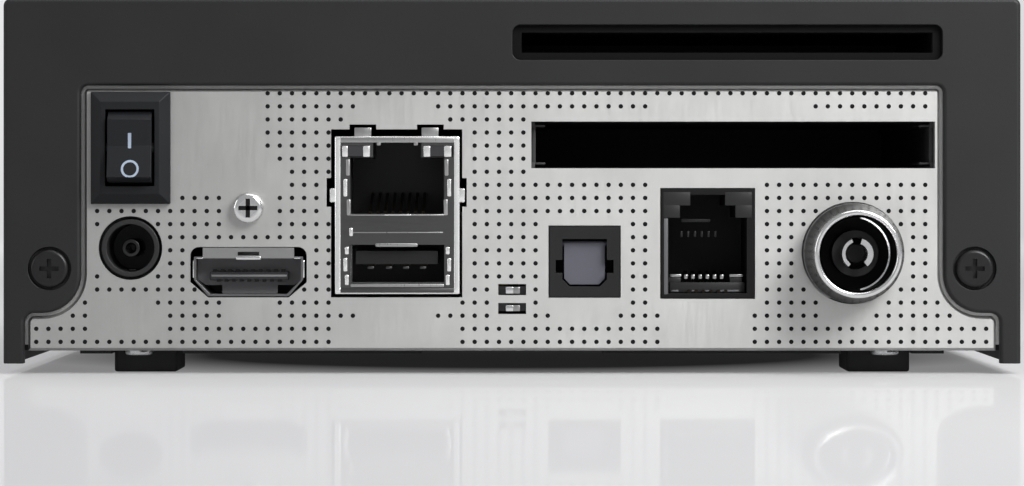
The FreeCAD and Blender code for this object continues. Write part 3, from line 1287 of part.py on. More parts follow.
# ---------------------------------------------------------------- optical socket
OPTICAL_FRONT = FACE_Y - OPTICAL_PROUD
SHUTTER_Y = OPTICAL_FRONT + OPTICAL_RECESS
SHUTTER_AXIS_Y = SHUTTER_Y + SHUTTER_THICKNESS / 2
SHUTTER_Z = OPTICAL_Z - OPTICAL_MOUTH_DROP
SHUTTER_AXIS_Z = SHUTTER_Z + SHUTTER_HEIGHT / 2 - SHUTTER_THICKNESS / 2
SHUTTER_SWEEP = SHUTTER_HEIGHT * math.sin(math.radians(min(SHUTTER_SWING, 90)))
OPTICAL_CAVITY_DEPTH = OPTICAL_RECESS + SHUTTER_THICKNESS + SHUTTER_SWEEP + LENS_LENGTH / 2 + SLIP_GAP


def optical_socket():
    half = OPTICAL_SIZE / 2
    back = OPTICAL_FRONT + OPTICAL_DEPTH
    body = bar(OPTICAL_X, OPTICAL_Z, OPTICAL_SIZE, OPTICAL_SIZE, OPTICAL_FRONT, back)
    foot = block(
        OPTICAL_X - half, OPTICAL_X + half, BOARD_REAR, back, BOARD_TOP, OPTICAL_Z - half + BUTT_GAP,
    )
    wide = SHUTTER_WIDTH / 2 + SHUTTER_GAP
    top = SHUTTER_Z + SHUTTER_HEIGHT / 2 + SHUTTER_GAP
    low = SHUTTER_Z - SHUTTER_HEIGHT / 2 - SHUTTER_GAP
    cut = SHUTTER_CHAMFER + SHUTTER_GAP * (2 - math.sqrt(2))
    cavity = prism([
        (OPTICAL_X - wide, top), (OPTICAL_X + wide, top),
        (OPTICAL_X + wide, low + cut), (OPTICAL_X + wide - cut, low),
        (OPTICAL_X - wide + cut, low), (OPTICAL_X - wide, low + cut),
    ], OPTICAL_FRONT - OVERCUT, OPTICAL_FRONT + OPTICAL_CAVITY_DEPTH)
    ears = bar(
        OPTICAL_X, SHUTTER_Z - OPTICAL_EAR_DROP, 2 * (wide + OPTICAL_EAR_DEPTH), OPTICAL_EAR_HEIGHT,
        OPTICAL_FRONT - OVERCUT, OPTICAL_FRONT + OPTICAL_CAVITY_DEPTH,
    )
    reach = SHUTTER_WIDTH / 2 + SHUTTER_PIN_LENGTH + PIVOT_GAP
    bore = Part.makeCylinder(
        SHUTTER_PIN_DIAMETER / 2 + PIVOT_GAP, 2 * reach,
        vec(OPTICAL_X - reach, SHUTTER_AXIS_Y, SHUTTER_AXIS_Z), vec(1, 0, 0),
    )
    lens = rod(
        OPTICAL_X, OPTICAL_Z, LENS_DIAMETER, OPTICAL_FRONT + OPTICAL_CAVITY_DEPTH - LENS_LENGTH / 2,
        OPTICAL_FRONT + OPTICAL_CAVITY_DEPTH + LENS_LENGTH / 2,
    )
    save("optical_body", joined([less(body, [cavity, ears, bore]), foot]).cut(lens))
    save("optical_emitter", lens)
    save("optical_shutter", optical_shutter())


def optical_shutter():
    """Sprung flap on a pin along its top edge."""
    half = SHUTTER_WIDTH / 2
    top = SHUTTER_Z + SHUTTER_HEIGHT / 2
    low = SHUTTER_Z - SHUTTER_HEIGHT / 2
    cut = SHUTTER_CHAMFER
    flap = prism([
        (OPTICAL_X - half, SHUTTER_AXIS_Z), (OPTICAL_X + half, SHUTTER_AXIS_Z),
        (OPTICAL_X + half, low + cut), (OPTICAL_X + half - cut, low),
        (OPTICAL_X - half + cut, low), (OPTICAL_X - half, low + cut),
    ], SHUTTER_Y, SHUTTER_Y + SHUTTER_THICKNESS)
    barrel = Part.makeCylinder(
        top - SHUTTER_AXIS_Z, SHUTTER_WIDTH,
        vec(OPTICAL_X - half, SHUTTER_AXIS_Y, SHUTTER_AXIS_Z), vec(1, 0, 0),
    )
    reach = half + SHUTTER_PIN_LENGTH
    pin = Part.makeCylinder(
        SHUTTER_PIN_DIAMETER / 2, 2 * reach,
        vec(OPTICAL_X - reach, SHUTTER_AXIS_Y, SHUTTER_AXIS_Z), vec(1, 0, 0),
    )
    return joined([flap, barrel, pin])


# ---------------------------------------------------------------- serial jack
def serial_jack():
    back = FACE_Y + SERIAL_DEPTH
    body = block(
        SERIAL_X - SERIAL_WIDTH / 2, SERIAL_X + SERIAL_WIDTH / 2, FACE_Y, back, SERIAL_FLOOR, SERIAL_TOP,
    )
    mouth_end = FACE_Y + SERIAL_MOUTH_DEPTH
    steps = [
        (SERIAL_MOUTH_WIDTH, SERIAL_MOUTH_TOP),
        (SERIAL_STEP_WIDTH, SERIAL_STEP_TOP),
        (SERIAL_LATCH_WIDTH, SERIAL_LATCH_TOP),
    ]
    cuts = [
        block(SERIAL_X - w / 2, SERIAL_X + w / 2, FACE_Y - OVERCUT, mouth_end, SERIAL_MOUTH_FLOOR, top)
        for w, top in steps
    ]
    save("serial_jack_body", less(body, cuts))
    wires = []
    for x in row(SERIAL_CONTACT_COUNT, SERIAL_PITCH):
        low = vec(SERIAL_X + x, FACE_Y + OVERCUT, SERIAL_MOUTH_FLOOR)
        high = vec(SERIAL_X + x, mouth_end, SERIAL_MOUTH_FLOOR + SERIAL_CONTACT_RISE)
        wires.append(slanted_wire(low, high, SERIAL_WIRE))
    save("serial_contacts", group(wires))


# ---------------------------------------------------------------- aerial socket and tuner
RF_FRONT = REAR_Y - RF_REACH
TUNER_REAR = PANEL_BACK + BUTT_GAP


def rf_socket():
    barrel = rod(RF_X, RF_Z, RF_OUTER_DIAMETER, RF_FRONT, TUNER_REAR)
    base_front = FACE_Y - RF_BASE_REACH
    base = rod(RF_X, RF_Z, RF_BASE_DIAMETER, base_front, TUNER_REAR)
    cone = Part.makeCone(
        RF_OUTER_DIAMETER / 2, RF_BASE_DIAMETER / 2, RF_CONE_LENGTH,
        vec(RF_X, base_front - RF_CONE_LENGTH, RF_Z), vec(0, 1, 0),
    )
    bore = rod(RF_X, RF_Z, RF_BORE_DIAMETER, RF_FRONT - OVERCUT, RF_FRONT + RF_BORE_DEPTH)
    rim = [e for e in barrel.Edges if e.BoundBox.YMax < RF_FRONT + 0.01]
    save("rf_shell", less(joined([barrel.makeFillet(RF_RIM_RADIUS, rim), cone, base]), [bore]))
    disc_front = RF_FRONT + RF_DISC_DEPTH
    disc = rod(RF_X, RF_Z, RF_DISC_DIAMETER, disc_front, RF_FRONT + RF_BORE_DEPTH)
    tip = RF_FRONT + RF_CONTACT_SETBACK
    contact = rod(RF_X, RF_Z, RF_CONTACT_DIAMETER, tip, RF_FRONT + RF_BORE_DEPTH)
    save("rf_insulator", less(disc, [contact]))
    bore = rod(RF_X, RF_Z, RF_CONTACT_BORE, tip - OVERCUT, tip + RF_CONTACT_DEPTH)
    slit_end = tip + RF_SLIT_LENGTH
    slit = bar(RF_X, RF_Z, RF_SLIT_WIDTH, RF_CONTACT_DIAMETER + OVERCUT, tip - OVERCUT, slit_end)
    save("rf_contact", less(contact, [bore, slit]))
    can = block(
        RF_X - TUNER_WIDTH / 2, RF_X + TUNER_WIDTH / 2, TUNER_REAR, TUNER_REAR + TUNER_DEPTH,
        BOARD_TOP, BOARD_TOP + TUNER_HEIGHT,
    )
    upper = edges_along(can, vec(0, 0, 1), lambda p: True)
    save("tuner_can", can.makeFillet(OVERCUT, upper))


# ---------------------------------------------------------------- card cage and card reader
CAGE_FRONT = PANEL_BACK + BUTT_GAP
CAGE_BACK = CAGE_FRONT + CI_DEPTH
CAGE_HALF = CI_WIDTH / 2 + CI_SHEET
CAGE_TOP = CI_Z + CI_HEIGHT / 2 + CI_SHEET
CAGE_LOW = CI_Z - CI_HEIGHT / 2 - CI_SHEET


def card_cage():
    """Sheet cage that guides the interface card, standing on the raised board."""
    outer = block(CI_X - CAGE_HALF, CI_X + CAGE_HALF, CAGE_FRONT, CAGE_BACK, CARD_BOARD_TOP, CAGE_TOP)
    inside = bar(CI_X, CI_Z, CI_WIDTH, CI_HEIGHT, CAGE_FRONT - OVERCUT, CAGE_BACK - CI_HEADER_DEPTH)
    behind = bar(
        CI_X, CI_Z, CI_WIDTH, CI_HEIGHT, CAGE_BACK - CI_HEADER_DEPTH - OVERCUT, CAGE_BACK + OVERCUT,
    )
    under = block(
        CI_X - CAGE_HALF, CI_X + CAGE_HALF, CAGE_FRONT - OVERCUT, CARD_BOARD_REAR, CARD_BOARD_TOP, CAGE_LOW,
    )
    cage = less(outer, [inside, behind, under])
    guides = []
    for side in (-1, 1):
        wall = CI_X + side * CI_WIDTH / 2
        tip = wall - side * CI_GUIDE_WIDTH
        for z0, z1 in (
            (CI_Z - CI_HEIGHT / 2, CI_Z - CI_GUIDE_HEIGHT / 2),
            (CI_Z + CI_GUIDE_HEIGHT / 2, CI_Z + CI_HEIGHT / 2),
        ):
            guides.append(block(
                min(wall, tip), max(wall, tip), CAGE_FRONT, CAGE_BACK - CI_HEADER_DEPTH, z0, z1,
            ))
    save("ci_cage", joined([cage] + guides))
    header = bar(CI_X, CI_Z, CI_WIDTH, CI_HEIGHT, CAGE_BACK - CI_HEADER_DEPTH, CAGE_BACK)
    save("ci_header", header)


READER_REAR = REAR_Y + REAR_WALL + BUTT_GAP
READER_LOW = CARD_SLOT_Z - READER_HEIGHT / 2
READER_TOP = CARD_SLOT_Z + READER_HEIGHT / 2


def card_reader():
    body = block(
        CARD_SLOT_X - READER_WIDTH / 2, CARD_SLOT_X + READER_WIDTH / 2,
        READER_REAR, READER_REAR + READER_DEPTH,
        READER_LOW, READER_TOP,
    )
    slot = bar(
        CARD_SLOT_X, CARD_SLOT_Z, CARD_SLOT_WIDTH, CARD_SLOT_HEIGHT,
        READER_REAR - OVERCUT, READER_REAR + READER_DEPTH - COVER_WALL,
    )
    save("card_reader", less(body, [slot]))
    contacts = []
    low = CARD_SLOT_Z - CARD_SLOT_HEIGHT / 2
    far = READER_REAR + READER_DEPTH - COVER_WALL - READER_CONTACT_LENGTH
    for near in (far, far - 2 * READER_CONTACT_LENGTH):
        for x in row(READER_CONTACT_ROWS, READER_CONTACT_PITCH):
            contacts.append(block(
                CARD_SLOT_X + x - LAN_WIRE, CARD_SLOT_X + x + LAN_WIRE, near, near + READER_CONTACT_LENGTH,
                low, low + LAN_WIRE,
            ))
    save("reader_contacts", group(contacts))


def reader_bracket():
    """Folded bridge over the card cage that carries the smart-card reader."""
    right = CI_X + CAGE_HALF + SLIP_GAP + BRACKET_SHEET
    rear = CARD_BOARD_REAR + BUTT_GAP
    front = READER_REAR + READER_DEPTH
    top = block(BRACKET_LEFT, right, rear, front, READER_LOW - BRACKET_SHEET, READER_LOW)
    legs = []
    for x0, x1, foot0, foot1 in (
        (BRACKET_LEFT, BRACKET_LEFT + BRACKET_SHEET, CARD_BOARD_LEFT, BRACKET_LEFT + BRACKET_SHEET),
        (right - BRACKET_SHEET, right, right - BRACKET_SHEET, CARD_BOARD_RIGHT),
    ):
        legs.append(block(x0, x1, rear, front, CARD_BOARD_TOP, READER_LOW))
        foot_top = CARD_BOARD_TOP + BRACKET_SHEET
        legs.append(block(foot0, foot1, front - BRACKET_FOOT, front, CARD_BOARD_TOP, foot_top))
    return joined([top] + legs)


# ---------------------------------------------------------------- parts on the main board
def board_parts():
    chip = block(
        CHIP_X - CHIP_SIZE / 2, CHIP_X + CHIP_SIZE / 2, CHIP_Y - CHIP_SIZE / 2, CHIP_Y + CHIP_SIZE / 2,
        BOARD_TOP, BOARD_TOP + CHIP_HEIGHT,
    )
    save("processor", chip)
    pad_top = BOARD_TOP + CHIP_HEIGHT + PAD_THICKNESS
    pad = block(
        CHIP_X - CHIP_SIZE / 2, CHIP_X + CHIP_SIZE / 2, CHIP_Y - CHIP_SIZE / 2, CHIP_Y + CHIP_SIZE / 2,
        BOARD_TOP + CHIP_HEIGHT, pad_top,
    )
    save("thermal_pad", pad)
    y0 = CHIP_Y - SINK_LENGTH / 2
    y1 = CHIP_Y + SINK_LENGTH / 2
    sink = [block(CHIP_X - SINK_WIDTH / 2, CHIP_X + SINK_WIDTH / 2, y0, y1, pad_top, pad_top + SINK_BASE)]
    for x in row(SINK_FIN_COUNT, (SINK_WIDTH - SINK_FIN_THICKNESS) / (SINK_FIN_COUNT - 1)):
        sink.append(block(
            CHIP_X + x - SINK_FIN_THICKNESS / 2, CHIP_X + x + SINK_FIN_THICKNESS / 2, y0, y1,
            pad_top, pad_top + SINK_HEIGHT,
        ))
    save("heat_sink", joined(sink))
    save("memory_chips", group([
        block(
            CHIP_X + x - MEMORY_WIDTH / 2, CHIP_X + x + MEMORY_WIDTH / 2,
            MEMORY_Y - MEMORY_LENGTH / 2, MEMORY_Y + MEMORY_LENGTH / 2,
            BOARD_TOP, BOARD_TOP + MEMORY_HEIGHT,
        )
        for x in row(MEMORY_COUNT, MEMORY_PITCH)
    ]))
    cans = []
    for x in row(CAPACITOR_COUNT, CAPACITOR_PITCH):
        can = post(CHIP_X + x, CAPACITOR_Y, CAPACITOR_DIAMETER, BOARD_TOP, BOARD_TOP + CAPACITOR_HEIGHT)
        rim = [e for e in can.Edges if e.BoundBox.ZMin > BOARD_TOP + CAPACITOR_HEIGHT / 2]
        cans.append(can.makeFillet(CAPACITOR_RIM, rim))
    save("capacitors", group(cans))
    coils = []
    for x in row(INDUCTOR_COUNT, INDUCTOR_PITCH):
        coil = block(
            CHIP_X + x - INDUCTOR_SIZE / 2, CHIP_X + x + INDUCTOR_SIZE / 2,
            CAPACITOR_Y - CAPACITOR_DIAMETER - INDUCTOR_SIZE, CAPACITOR_Y - CAPACITOR_DIAMETER,
            BOARD_TOP, BOARD_TOP + INDUCTOR_HEIGHT,
        )
        coils.append(coil)
    save("inductors", group(coils))


def panel_bracket():
    """Angle on the main board that the panel's pan-head screw bites into."""
    rear = PANEL_BACK + BUTT_GAP
    upright = block(
        PANEL_SCREW_X - SUPPORT_WIDTH / 2, PANEL_SCREW_X + SUPPORT_WIDTH / 2,
        rear, rear + SUPPORT_THICKNESS,
        SUPPORT_LOW, PANEL_SCREW_Z + SUPPORT_WIDTH / 2,
    )
    shelf = block(
        PANEL_SCREW_X - SUPPORT_WIDTH / 2, PANEL_SCREW_X + SUPPORT_WIDTH / 2, rear, SUPPORT_BACK,
        SUPPORT_LOW, SUPPORT_LOW + SUPPORT_THICKNESS,
    )
    leg = block(
        PANEL_SCREW_X - SUPPORT_WIDTH / 2, PANEL_SCREW_X + SUPPORT_WIDTH / 2,
        SUPPORT_BACK - SUPPORT_THICKNESS, SUPPORT_BACK, BOARD_TOP, SUPPORT_LOW + SUPPORT_THICKNESS,
    )
    foot = block(
        PANEL_SCREW_X - SUPPORT_WIDTH / 2, PANEL_SCREW_X + SUPPORT_WIDTH / 2,
        SUPPORT_BACK - SUPPORT_THICKNESS, SUPPORT_BACK + SUPPORT_FOOT,
        BOARD_TOP, BOARD_TOP + SUPPORT_THICKNESS,
    )
    past = rear + SUPPORT_THICKNESS + OVERCUT
    hole = rod(PANEL_SCREW_X, PANEL_SCREW_Z, SCREW_SHANK_DIAMETER, rear - OVERCUT, past)
    return less(joined([upright, shelf, leg, foot]), [hole])


SUPPORT_LOW = HDMI_TOP + HDMI_SHEET + HDMI_FLANGE_HEIGHT + SLIP_GAP
SUPPORT_BACK = FACE_Y + HDMI_DEPTH + SLIP_GAP + SUPPORT_THICKNESS


# ---------------------------------------------------------------- build
os.makedirs("parts", exist_ok=True)
save("top_cover", top_cover())
save("front_bezel", front_bezel())
save("front_window", front_window())
save("standby_button", standby_button())
front_electronics()
save("rear_panel", rear_panel())
save("base_plate", base_plate())
save("feet", feet())
screws()
boards()
switch_frame()
save("switch_rocker", switch_rocker())
switch_wiring()
dc_inlet()
hdmi_socket()
lan_usb_stack()
save("ground_clip", ground_clip())
optical_socket()
serial_jack()
rf_socket()
card_cage()
card_reader()
save("reader_bracket", reader_bracket())
board_parts()
save("panel_bracket", panel_bracket())
print("rocker pivot", SWITCH_X, ROCKER_PIVOT_Y, SWITCH_Z)
print("shutter axis", OPTICAL_X, SHUTTER_AXIS_Y, SHUTTER_AXIS_Z)
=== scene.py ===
import math
import bmesh
import bpy
from mathutils import Matrix, Vector
from mathutils.bvhtree import BVHTree


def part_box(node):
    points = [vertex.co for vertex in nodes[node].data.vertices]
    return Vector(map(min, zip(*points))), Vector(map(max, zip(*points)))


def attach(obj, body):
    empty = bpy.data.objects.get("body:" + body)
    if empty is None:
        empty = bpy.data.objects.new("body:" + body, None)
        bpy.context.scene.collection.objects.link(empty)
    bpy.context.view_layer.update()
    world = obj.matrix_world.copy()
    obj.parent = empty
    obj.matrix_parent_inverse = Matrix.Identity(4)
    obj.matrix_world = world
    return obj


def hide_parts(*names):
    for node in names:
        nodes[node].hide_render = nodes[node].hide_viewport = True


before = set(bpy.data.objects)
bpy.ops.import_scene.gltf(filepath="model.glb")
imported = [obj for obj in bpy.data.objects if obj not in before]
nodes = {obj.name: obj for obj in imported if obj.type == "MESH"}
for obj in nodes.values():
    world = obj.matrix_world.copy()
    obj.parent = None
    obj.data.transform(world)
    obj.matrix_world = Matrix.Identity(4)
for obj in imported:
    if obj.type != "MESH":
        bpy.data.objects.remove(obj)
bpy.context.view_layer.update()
scene = bpy.context.scene
scene.view_settings.view_transform = "Standard"


# ---------------------------------------------------------------- camera
# A long lens straight behind the box, half way up its rear panel, with the view slid down so
# that the table in front of the feet is in the frame.
MM = 0.001
CAMERA_HEIGHT = 25.4
CAMERA_DISTANCE = 575.0
rear_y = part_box("top_cover")[0].y / MM
camera_data = bpy.data.cameras.new("camera")
camera_data.lens = 150.2
camera_data.sensor_width = 36.0
camera_data.shift_y = -0.0563
camera_data.clip_start = 0.01
camera = bpy.data.objects.new("camera", camera_data)
camera.location = (0.0, (rear_y - CAMERA_DISTANCE) * MM, CAMERA_HEIGHT * MM)
camera.rotation_euler = (math.radians(90), 0, 0)
scene.collection.objects.link(camera)
scene.camera = camera


# ---------------------------------------------------------------- table, backdrop and lamps
# A table of polished opal acrylic with a painted glow, weak under the box as a painted shadow,
# that runs up into a pale backdrop.
# A small softbox with a grid, close on the right, lights the panel more on that side. One on the
# left skims the table under the feet, one hangs overhead and one stands in front of the box.
def linear(code):
    """Linear RGBA of an sRGB hex colour."""
    parts = [int(code[i:i + 2], 16) / 255 for i in (1, 3, 5)]
    tone = [p / 12.92 if p <= 0.04045 else ((p + 0.055) / 1.055) ** 2.4 for p in parts]
    return (*tone, 1.0)


def add(tree, kind, sockets=None, stops=(), **settings):
    """Adds one shader node: sockets holds values or outputs to link, stops a ramp's colours."""
    node = tree.nodes.new("ShaderNode" + kind)
    for key, value in settings.items():
        setattr(node, key, value)
    for key, value in (sockets or {}).items():
        if isinstance(value, bpy.types.NodeSocket):
            tree.links.new(value, node.inputs[key])
        else:
            node.inputs[key].default_value = value
    for element, (place, colour) in zip(node.color_ramp.elements if stops else (), stops):
        element.position = place
        element.color = colour
    return node


def blank(name, colour, roughness, metallic=0.0):
    """New material: its node tree and its Principled shader with plain values."""
    made = bpy.data.materials.new(name)
    made.use_nodes = True
    shader = made.node_tree.nodes["Principled BSDF"]
    shader.inputs["Base Color"].default_value = linear(colour)
    shader.inputs["Roughness"].default_value = roughness
    shader.inputs["Metallic"].default_value = metallic
    return made, made.node_tree, shader


def verts_of(result):
    """The vertices among what a bmesh operator made."""
    return [g for g in result["geom"] if isinstance(g, bmesh.types.BMVert)]


# Opal acrylic, polished: an even pale tone, with a faint clear mirror image when seen flat along
# it. A glow is painted into it: weak in the middle as a painted shadow under the box, stronger
# past a ring and strongest far back. It is seen directly and in shiny things, but puts no light
# on the box.
ACRYLIC_MIRROR = 0.15
MIRROR_FACING = (0.88, 0.925)
GLOW_IN_PAINTED_SHADOW_AND_OPEN = (0.015, 0.23)
PAINTED_SHADOW_RING = (0.045, 0.072)
FAR_GLOW = (0.5, 1.5, 0.3)
acrylic, tree, _ = blank("polished_opal_acrylic", "#999999", 0.6)
place = add(tree, "TexCoord").outputs["Object"]
haze = add(tree, "TexNoise", {"Vector": place, "Scale": 6.0, "Detail": 2.0}).outputs["Fac"]
tone = add(tree, "ValToRGB", {"Fac": haze}, ((0.3, linear("#979798")), (0.7, linear("#9b9b9b"))))
matt = add(tree, "BsdfDiffuse", {"Color": tone.outputs["Color"]})
mirror = add(tree, "BsdfGlossy", {"Color": linear("#ffffff"), "Roughness": 0.04})
facing = add(tree, "LayerWeight", {"Blend": 0.5}).outputs["Facing"]
grazing = add(tree, "MapRange", {
    "Value": facing, "From Min": MIRROR_FACING[0], "From Max": MIRROR_FACING[1],
    "To Min": 0.0, "To Max": ACRYLIC_MIRROR,
})
both = add(tree, "MixShader", {
    0: grazing.outputs["Result"], 1: matt.outputs[0], 2: mirror.outputs[0],
})
away = add(tree, "VectorMath", {0: place}, operation="LENGTH").outputs["Value"]
ring = add(tree, "MapRange", {
    "Value": away, "From Min": PAINTED_SHADOW_RING[0], "From Max": PAINTED_SHADOW_RING[1],
    "To Min": GLOW_IN_PAINTED_SHADOW_AND_OPEN[0], "To Max": GLOW_IN_PAINTED_SHADOW_AND_OPEN[1],
})
far = add(tree, "MapRange", {
    "Value": away, "From Min": FAR_GLOW[0], "From Max": FAR_GLOW[1],
    "To Min": 0.0, "To Max": FAR_GLOW[2],
})
level = add(tree, "Math", {0: ring.outputs["Result"], 1: far.outputs["Result"]}, operation="ADD")
rays = add(tree, "LightPath").outputs
seen = add(tree, "Math", {0: rays["Is Camera Ray"], 1: rays["Is Glossy Ray"]}, operation="MAXIMUM")
shown = add(tree, "Math", {
    0: level.outputs["Value"], 1: seen.outputs["Value"],
}, operation="MULTIPLY")
glow = add(tree, "Emission", {"Color": linear("#fafafc"), "Strength": shown.outputs["Value"]})
lit = add(tree, "AddShader", {0: both.outputs[0], 1: glow.outputs[0]})
tree.links.new(lit.outputs[0], tree.nodes["Material Output"].inputs["Surface"])

TABLE_HALF = 2.6
TABLE_NEAR = -1.6
TABLE_DEPTH = 3.4
BACKDROP_HEIGHT = 2.0
BACKDROP_BEND = 0.8
bm = bmesh.new()
ends = [bm.verts.new((x, TABLE_NEAR, 0)) for x in (-TABLE_HALF, TABLE_HALF)]
run = bmesh.ops.extrude_edge_only(bm, edges=[bm.edges.new(ends)])
bmesh.ops.translate(bm, verts=verts_of(run), vec=(0, TABLE_DEPTH, 0))
edges = [g for g in run["geom"] if isinstance(g, bmesh.types.BMEdge)]
fold = [edge for edge in edges if all(v.co.y > 1 for v in edge.verts)]
rise = bmesh.ops.extrude_edge_only(bm, edges=fold)
bmesh.ops.translate(bm, verts=verts_of(rise), vec=(0, 0, BACKDROP_HEIGHT))
bmesh.ops.bevel(
    bm, geom=fold, offset=BACKDROP_BEND, offset_type="OFFSET", affect="EDGES", segments=12,
    profile=0.5, material=-1,
)
bmesh.ops.recalc_face_normals(bm, faces=bm.faces)
if bm.faces[0].normal.z < 0:
    bmesh.ops.reverse_faces(bm, faces=bm.faces)
mesh = bpy.data.meshes.new("table")
bm.to_mesh(mesh)
bm.free()
mesh.materials.append(acrylic)
mesh.shade_smooth()
table = bpy.data.objects.new("table", mesh)
scene.collection.objects.link(table)

STUDIO_TONE = "#f4f5f7"
STUDIO_LEVEL = 0.46
world = bpy.data.worlds.new("studio")
scene.world = world
world.use_nodes = True
walls = world.node_tree.nodes["Background"]
walls.inputs["Color"].default_value = linear(STUDIO_TONE)
walls.inputs["Strength"].default_value = STUDIO_LEVEL

# Place, size and power of each, and how wide it spreads in degrees: 180 has no grid.
LAMP_AIM = Vector((0, 0, 0.02))
LAMPS = (
    ("right_softbox", (0.26, -0.34, 0.3), 0.25, 1.32, 120),
    ("left_softbox", (-1.1, -0.3, 0.35), 0.6, 1.6, 180),
    ("overhead_softbox", (0.2, 0.05, 1.3), 1.1, 9.2, 180),
    ("front_softbox", (-0.6, 1.3, 0.8), 0.9, 6.0, 180),
)
for name, spot, size, power, spread in LAMPS:
    lamp_data = bpy.data.lights.new(name, "AREA")
    lamp_data.size = size
    lamp_data.energy = power
    lamp_data.spread = math.radians(spread)
    lamp = bpy.data.objects.new(name, lamp_data)
    lamp.location = spot
    lamp.rotation_euler = (LAMP_AIM - Vector(spot)).to_track_quat("-Z", "Y").to_euler()
    scene.collection.objects.link(lamp)


# ---------------------------------------------------------------- moulded cover
# Top, sides and rear surround in one piece of charcoal ABS, injection moulded with a fine
# spark finish. It drops over the floor and is held by the two black rear screws.
def moulded(name, colour, roughness, grain, depth, sheen=0.3, cloud=14.0):
    """Injection-moulded plastic: spark grain of a size in mm, faint clouding and wiped gloss."""
    made, tree, shader = blank(name, colour, roughness)
    shader.inputs["Specular IOR Level"].default_value = sheen
    place = add(tree, "TexCoord").outputs["Object"]
    spark = add(tree, "TexNoise", {"Vector": place, "Scale": 1 / (grain * MM), "Detail": 4.0})
    clouds = add(tree, "TexNoise", {"Vector": place, "Scale": 1 / (cloud * MM), "Detail": 5.0})
    base = Vector(linear(colour)[:3])
    tint = add(tree, "ValToRGB", {"Fac": clouds.outputs["Fac"]}, (
        (0.3, (*(base * 0.92), 1)), (0.7, (*(base * 1.08), 1)),
    ))
    wipe = add(tree, "MapRange", {
        "Value": clouds.outputs["Fac"], "From Min": 0.3, "From Max": 0.7,
        "To Min": roughness - 0.015, "To Max": roughness + 0.015,
    })
    bump = add(tree, "Bump", {
        "Height": spark.outputs["Fac"], "Distance": depth * MM, "Strength": 0.6,
    })
    tree.links.new(tint.outputs["Color"], shader.inputs["Base Color"])
    tree.links.new(wipe.outputs["Result"], shader.inputs["Roughness"])
    tree.links.new(bump.outputs["Normal"], shader.inputs["Normal"])
    return made


def placed(name, mesh, material, body, stands_for):
    """Puts a finished mesh into the scene as a piece that rides on a body."""
    mesh.materials.clear()
    mesh.materials.append(material)
    piece = bpy.data.objects.new(name, mesh)
    scene.collection.objects.link(piece)
    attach(piece, body)
    if stands_for:
        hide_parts(*stands_for)
    return piece


def softened(name, node, material, body, edge, angle=38):
    """Stands for a CAD node: its merged shape with edges over an angle broken by a width in mm."""
    bm = bmesh.new()
    bm.from_mesh(nodes[node].data)
    bmesh.ops.remove_doubles(bm, verts=bm.verts, dist=0.002 * MM)
    bmesh.ops.dissolve_limit(
        bm, angle_limit=math.radians(0.6), verts=bm.verts, edges=bm.edges,
        use_dissolve_boundaries=False,
    )
    mesh = bpy.data.meshes.new(name)
    bm.to_mesh(mesh)
    bm.free()
    mesh.shade_smooth()
    piece = placed(name, mesh, material, body, (node,))
    if edge:
        broken = piece.modifiers.new("broken_edges", "BEVEL")
        broken.width = edge * MM
        broken.segments = 2
        broken.limit_method = "ANGLE"
        broken.angle_limit = math.radians(angle)
        flat = piece.modifiers.new("flat_faces", "WEIGHTED_NORMAL")
        flat.weight = 50
    else:
        mesh.set_sharp_from_angle(angle=math.radians(angle))
    return piece


# ABS with a fine spark-eroded skin: dark and even, with a wide dull sheen.
cover_abs = moulded("charcoal_abs_spark_finish", "#1f1f20", 0.5, 0.25, 0.012)
softened("cover_shell", "top_cover", cover_abs, "case", 0.12)


# ---------------------------------------------------------------- rear panel
# Zinc-plated steel sheet, blanked and embossed towards the rear, with a printed grid of small
# dark dots between the sockets. Screwed to the cover and to the bracket behind it.
def plated(name, colour, roughness, streak, stretch, metallic=1.0, depth=0.004):
    """Plated or drawn metal: streaks of a width in mm, drawn out where stretch is under one."""
    made, tree, shader = blank(name, colour, roughness, metallic)
    place = add(tree, "TexCoord").outputs["Object"]
    run = add(tree, "Mapping", {"Vector": place, "Scale": stretch}).outputs["Vector"]
    lines = add(tree, "TexNoise", {"Vector": run, "Scale": 1 / (streak * MM), "Detail": 5.0})
    bloom = add(tree, "TexNoise", {"Vector": place, "Scale": 1 / (9.0 * MM), "Detail": 4.0})
    base = Vector(linear(colour)[:3])
    tint = add(tree, "ValToRGB", {"Fac": bloom.outputs["Fac"]}, (
        (0.3, (*(base * 0.94), 1)), (0.7, (*(base * 1.05), 1)),
    ))
    polish = add(tree, "MapRange", {
        "Value": lines.outputs["Fac"], "From Min": 0.3, "From Max": 0.7,
        "To Min": roughness * 0.88, "To Max": roughness * 1.15,
    })
    bump = add(tree, "Bump", {
        "Height": lines.outputs["Fac"], "Distance": depth * MM, "Strength": 0.5,
    })
    tree.links.new(tint.outputs["Color"], shader.inputs["Base Color"])
    tree.links.new(polish.outputs["Result"], shader.inputs["Roughness"])
    tree.links.new(bump.outputs["Normal"], shader.inputs["Normal"])
    return made


def shaped(name, bm, material, body, slot, *stands_for, crease=32):
    """Makes a finished piece of a bmesh in millimetres, smooth but for edges over the crease."""
    bmesh.ops.scale(bm, vec=(MM, MM, MM), verts=bm.verts)
    bmesh.ops.recalc_face_normals(bm, faces=bm.faces)
    mesh = bpy.data.meshes.new(name)
    bm.to_mesh(mesh)
    bm.free()
    mesh.shade_smooth()
    mesh.set_sharp_from_angle(angle=math.radians(crease))
    return placed(name, mesh, material, body, stands_for)


# Zinc plate, passivated: a pale grey metal with a soft, slightly streaked shine.
panel_zinc = plated("zinc_plated_steel_sheet", "#c2c2c0", 0.46, 0.35, (1.0, 1.0, 0.08), 0.65)
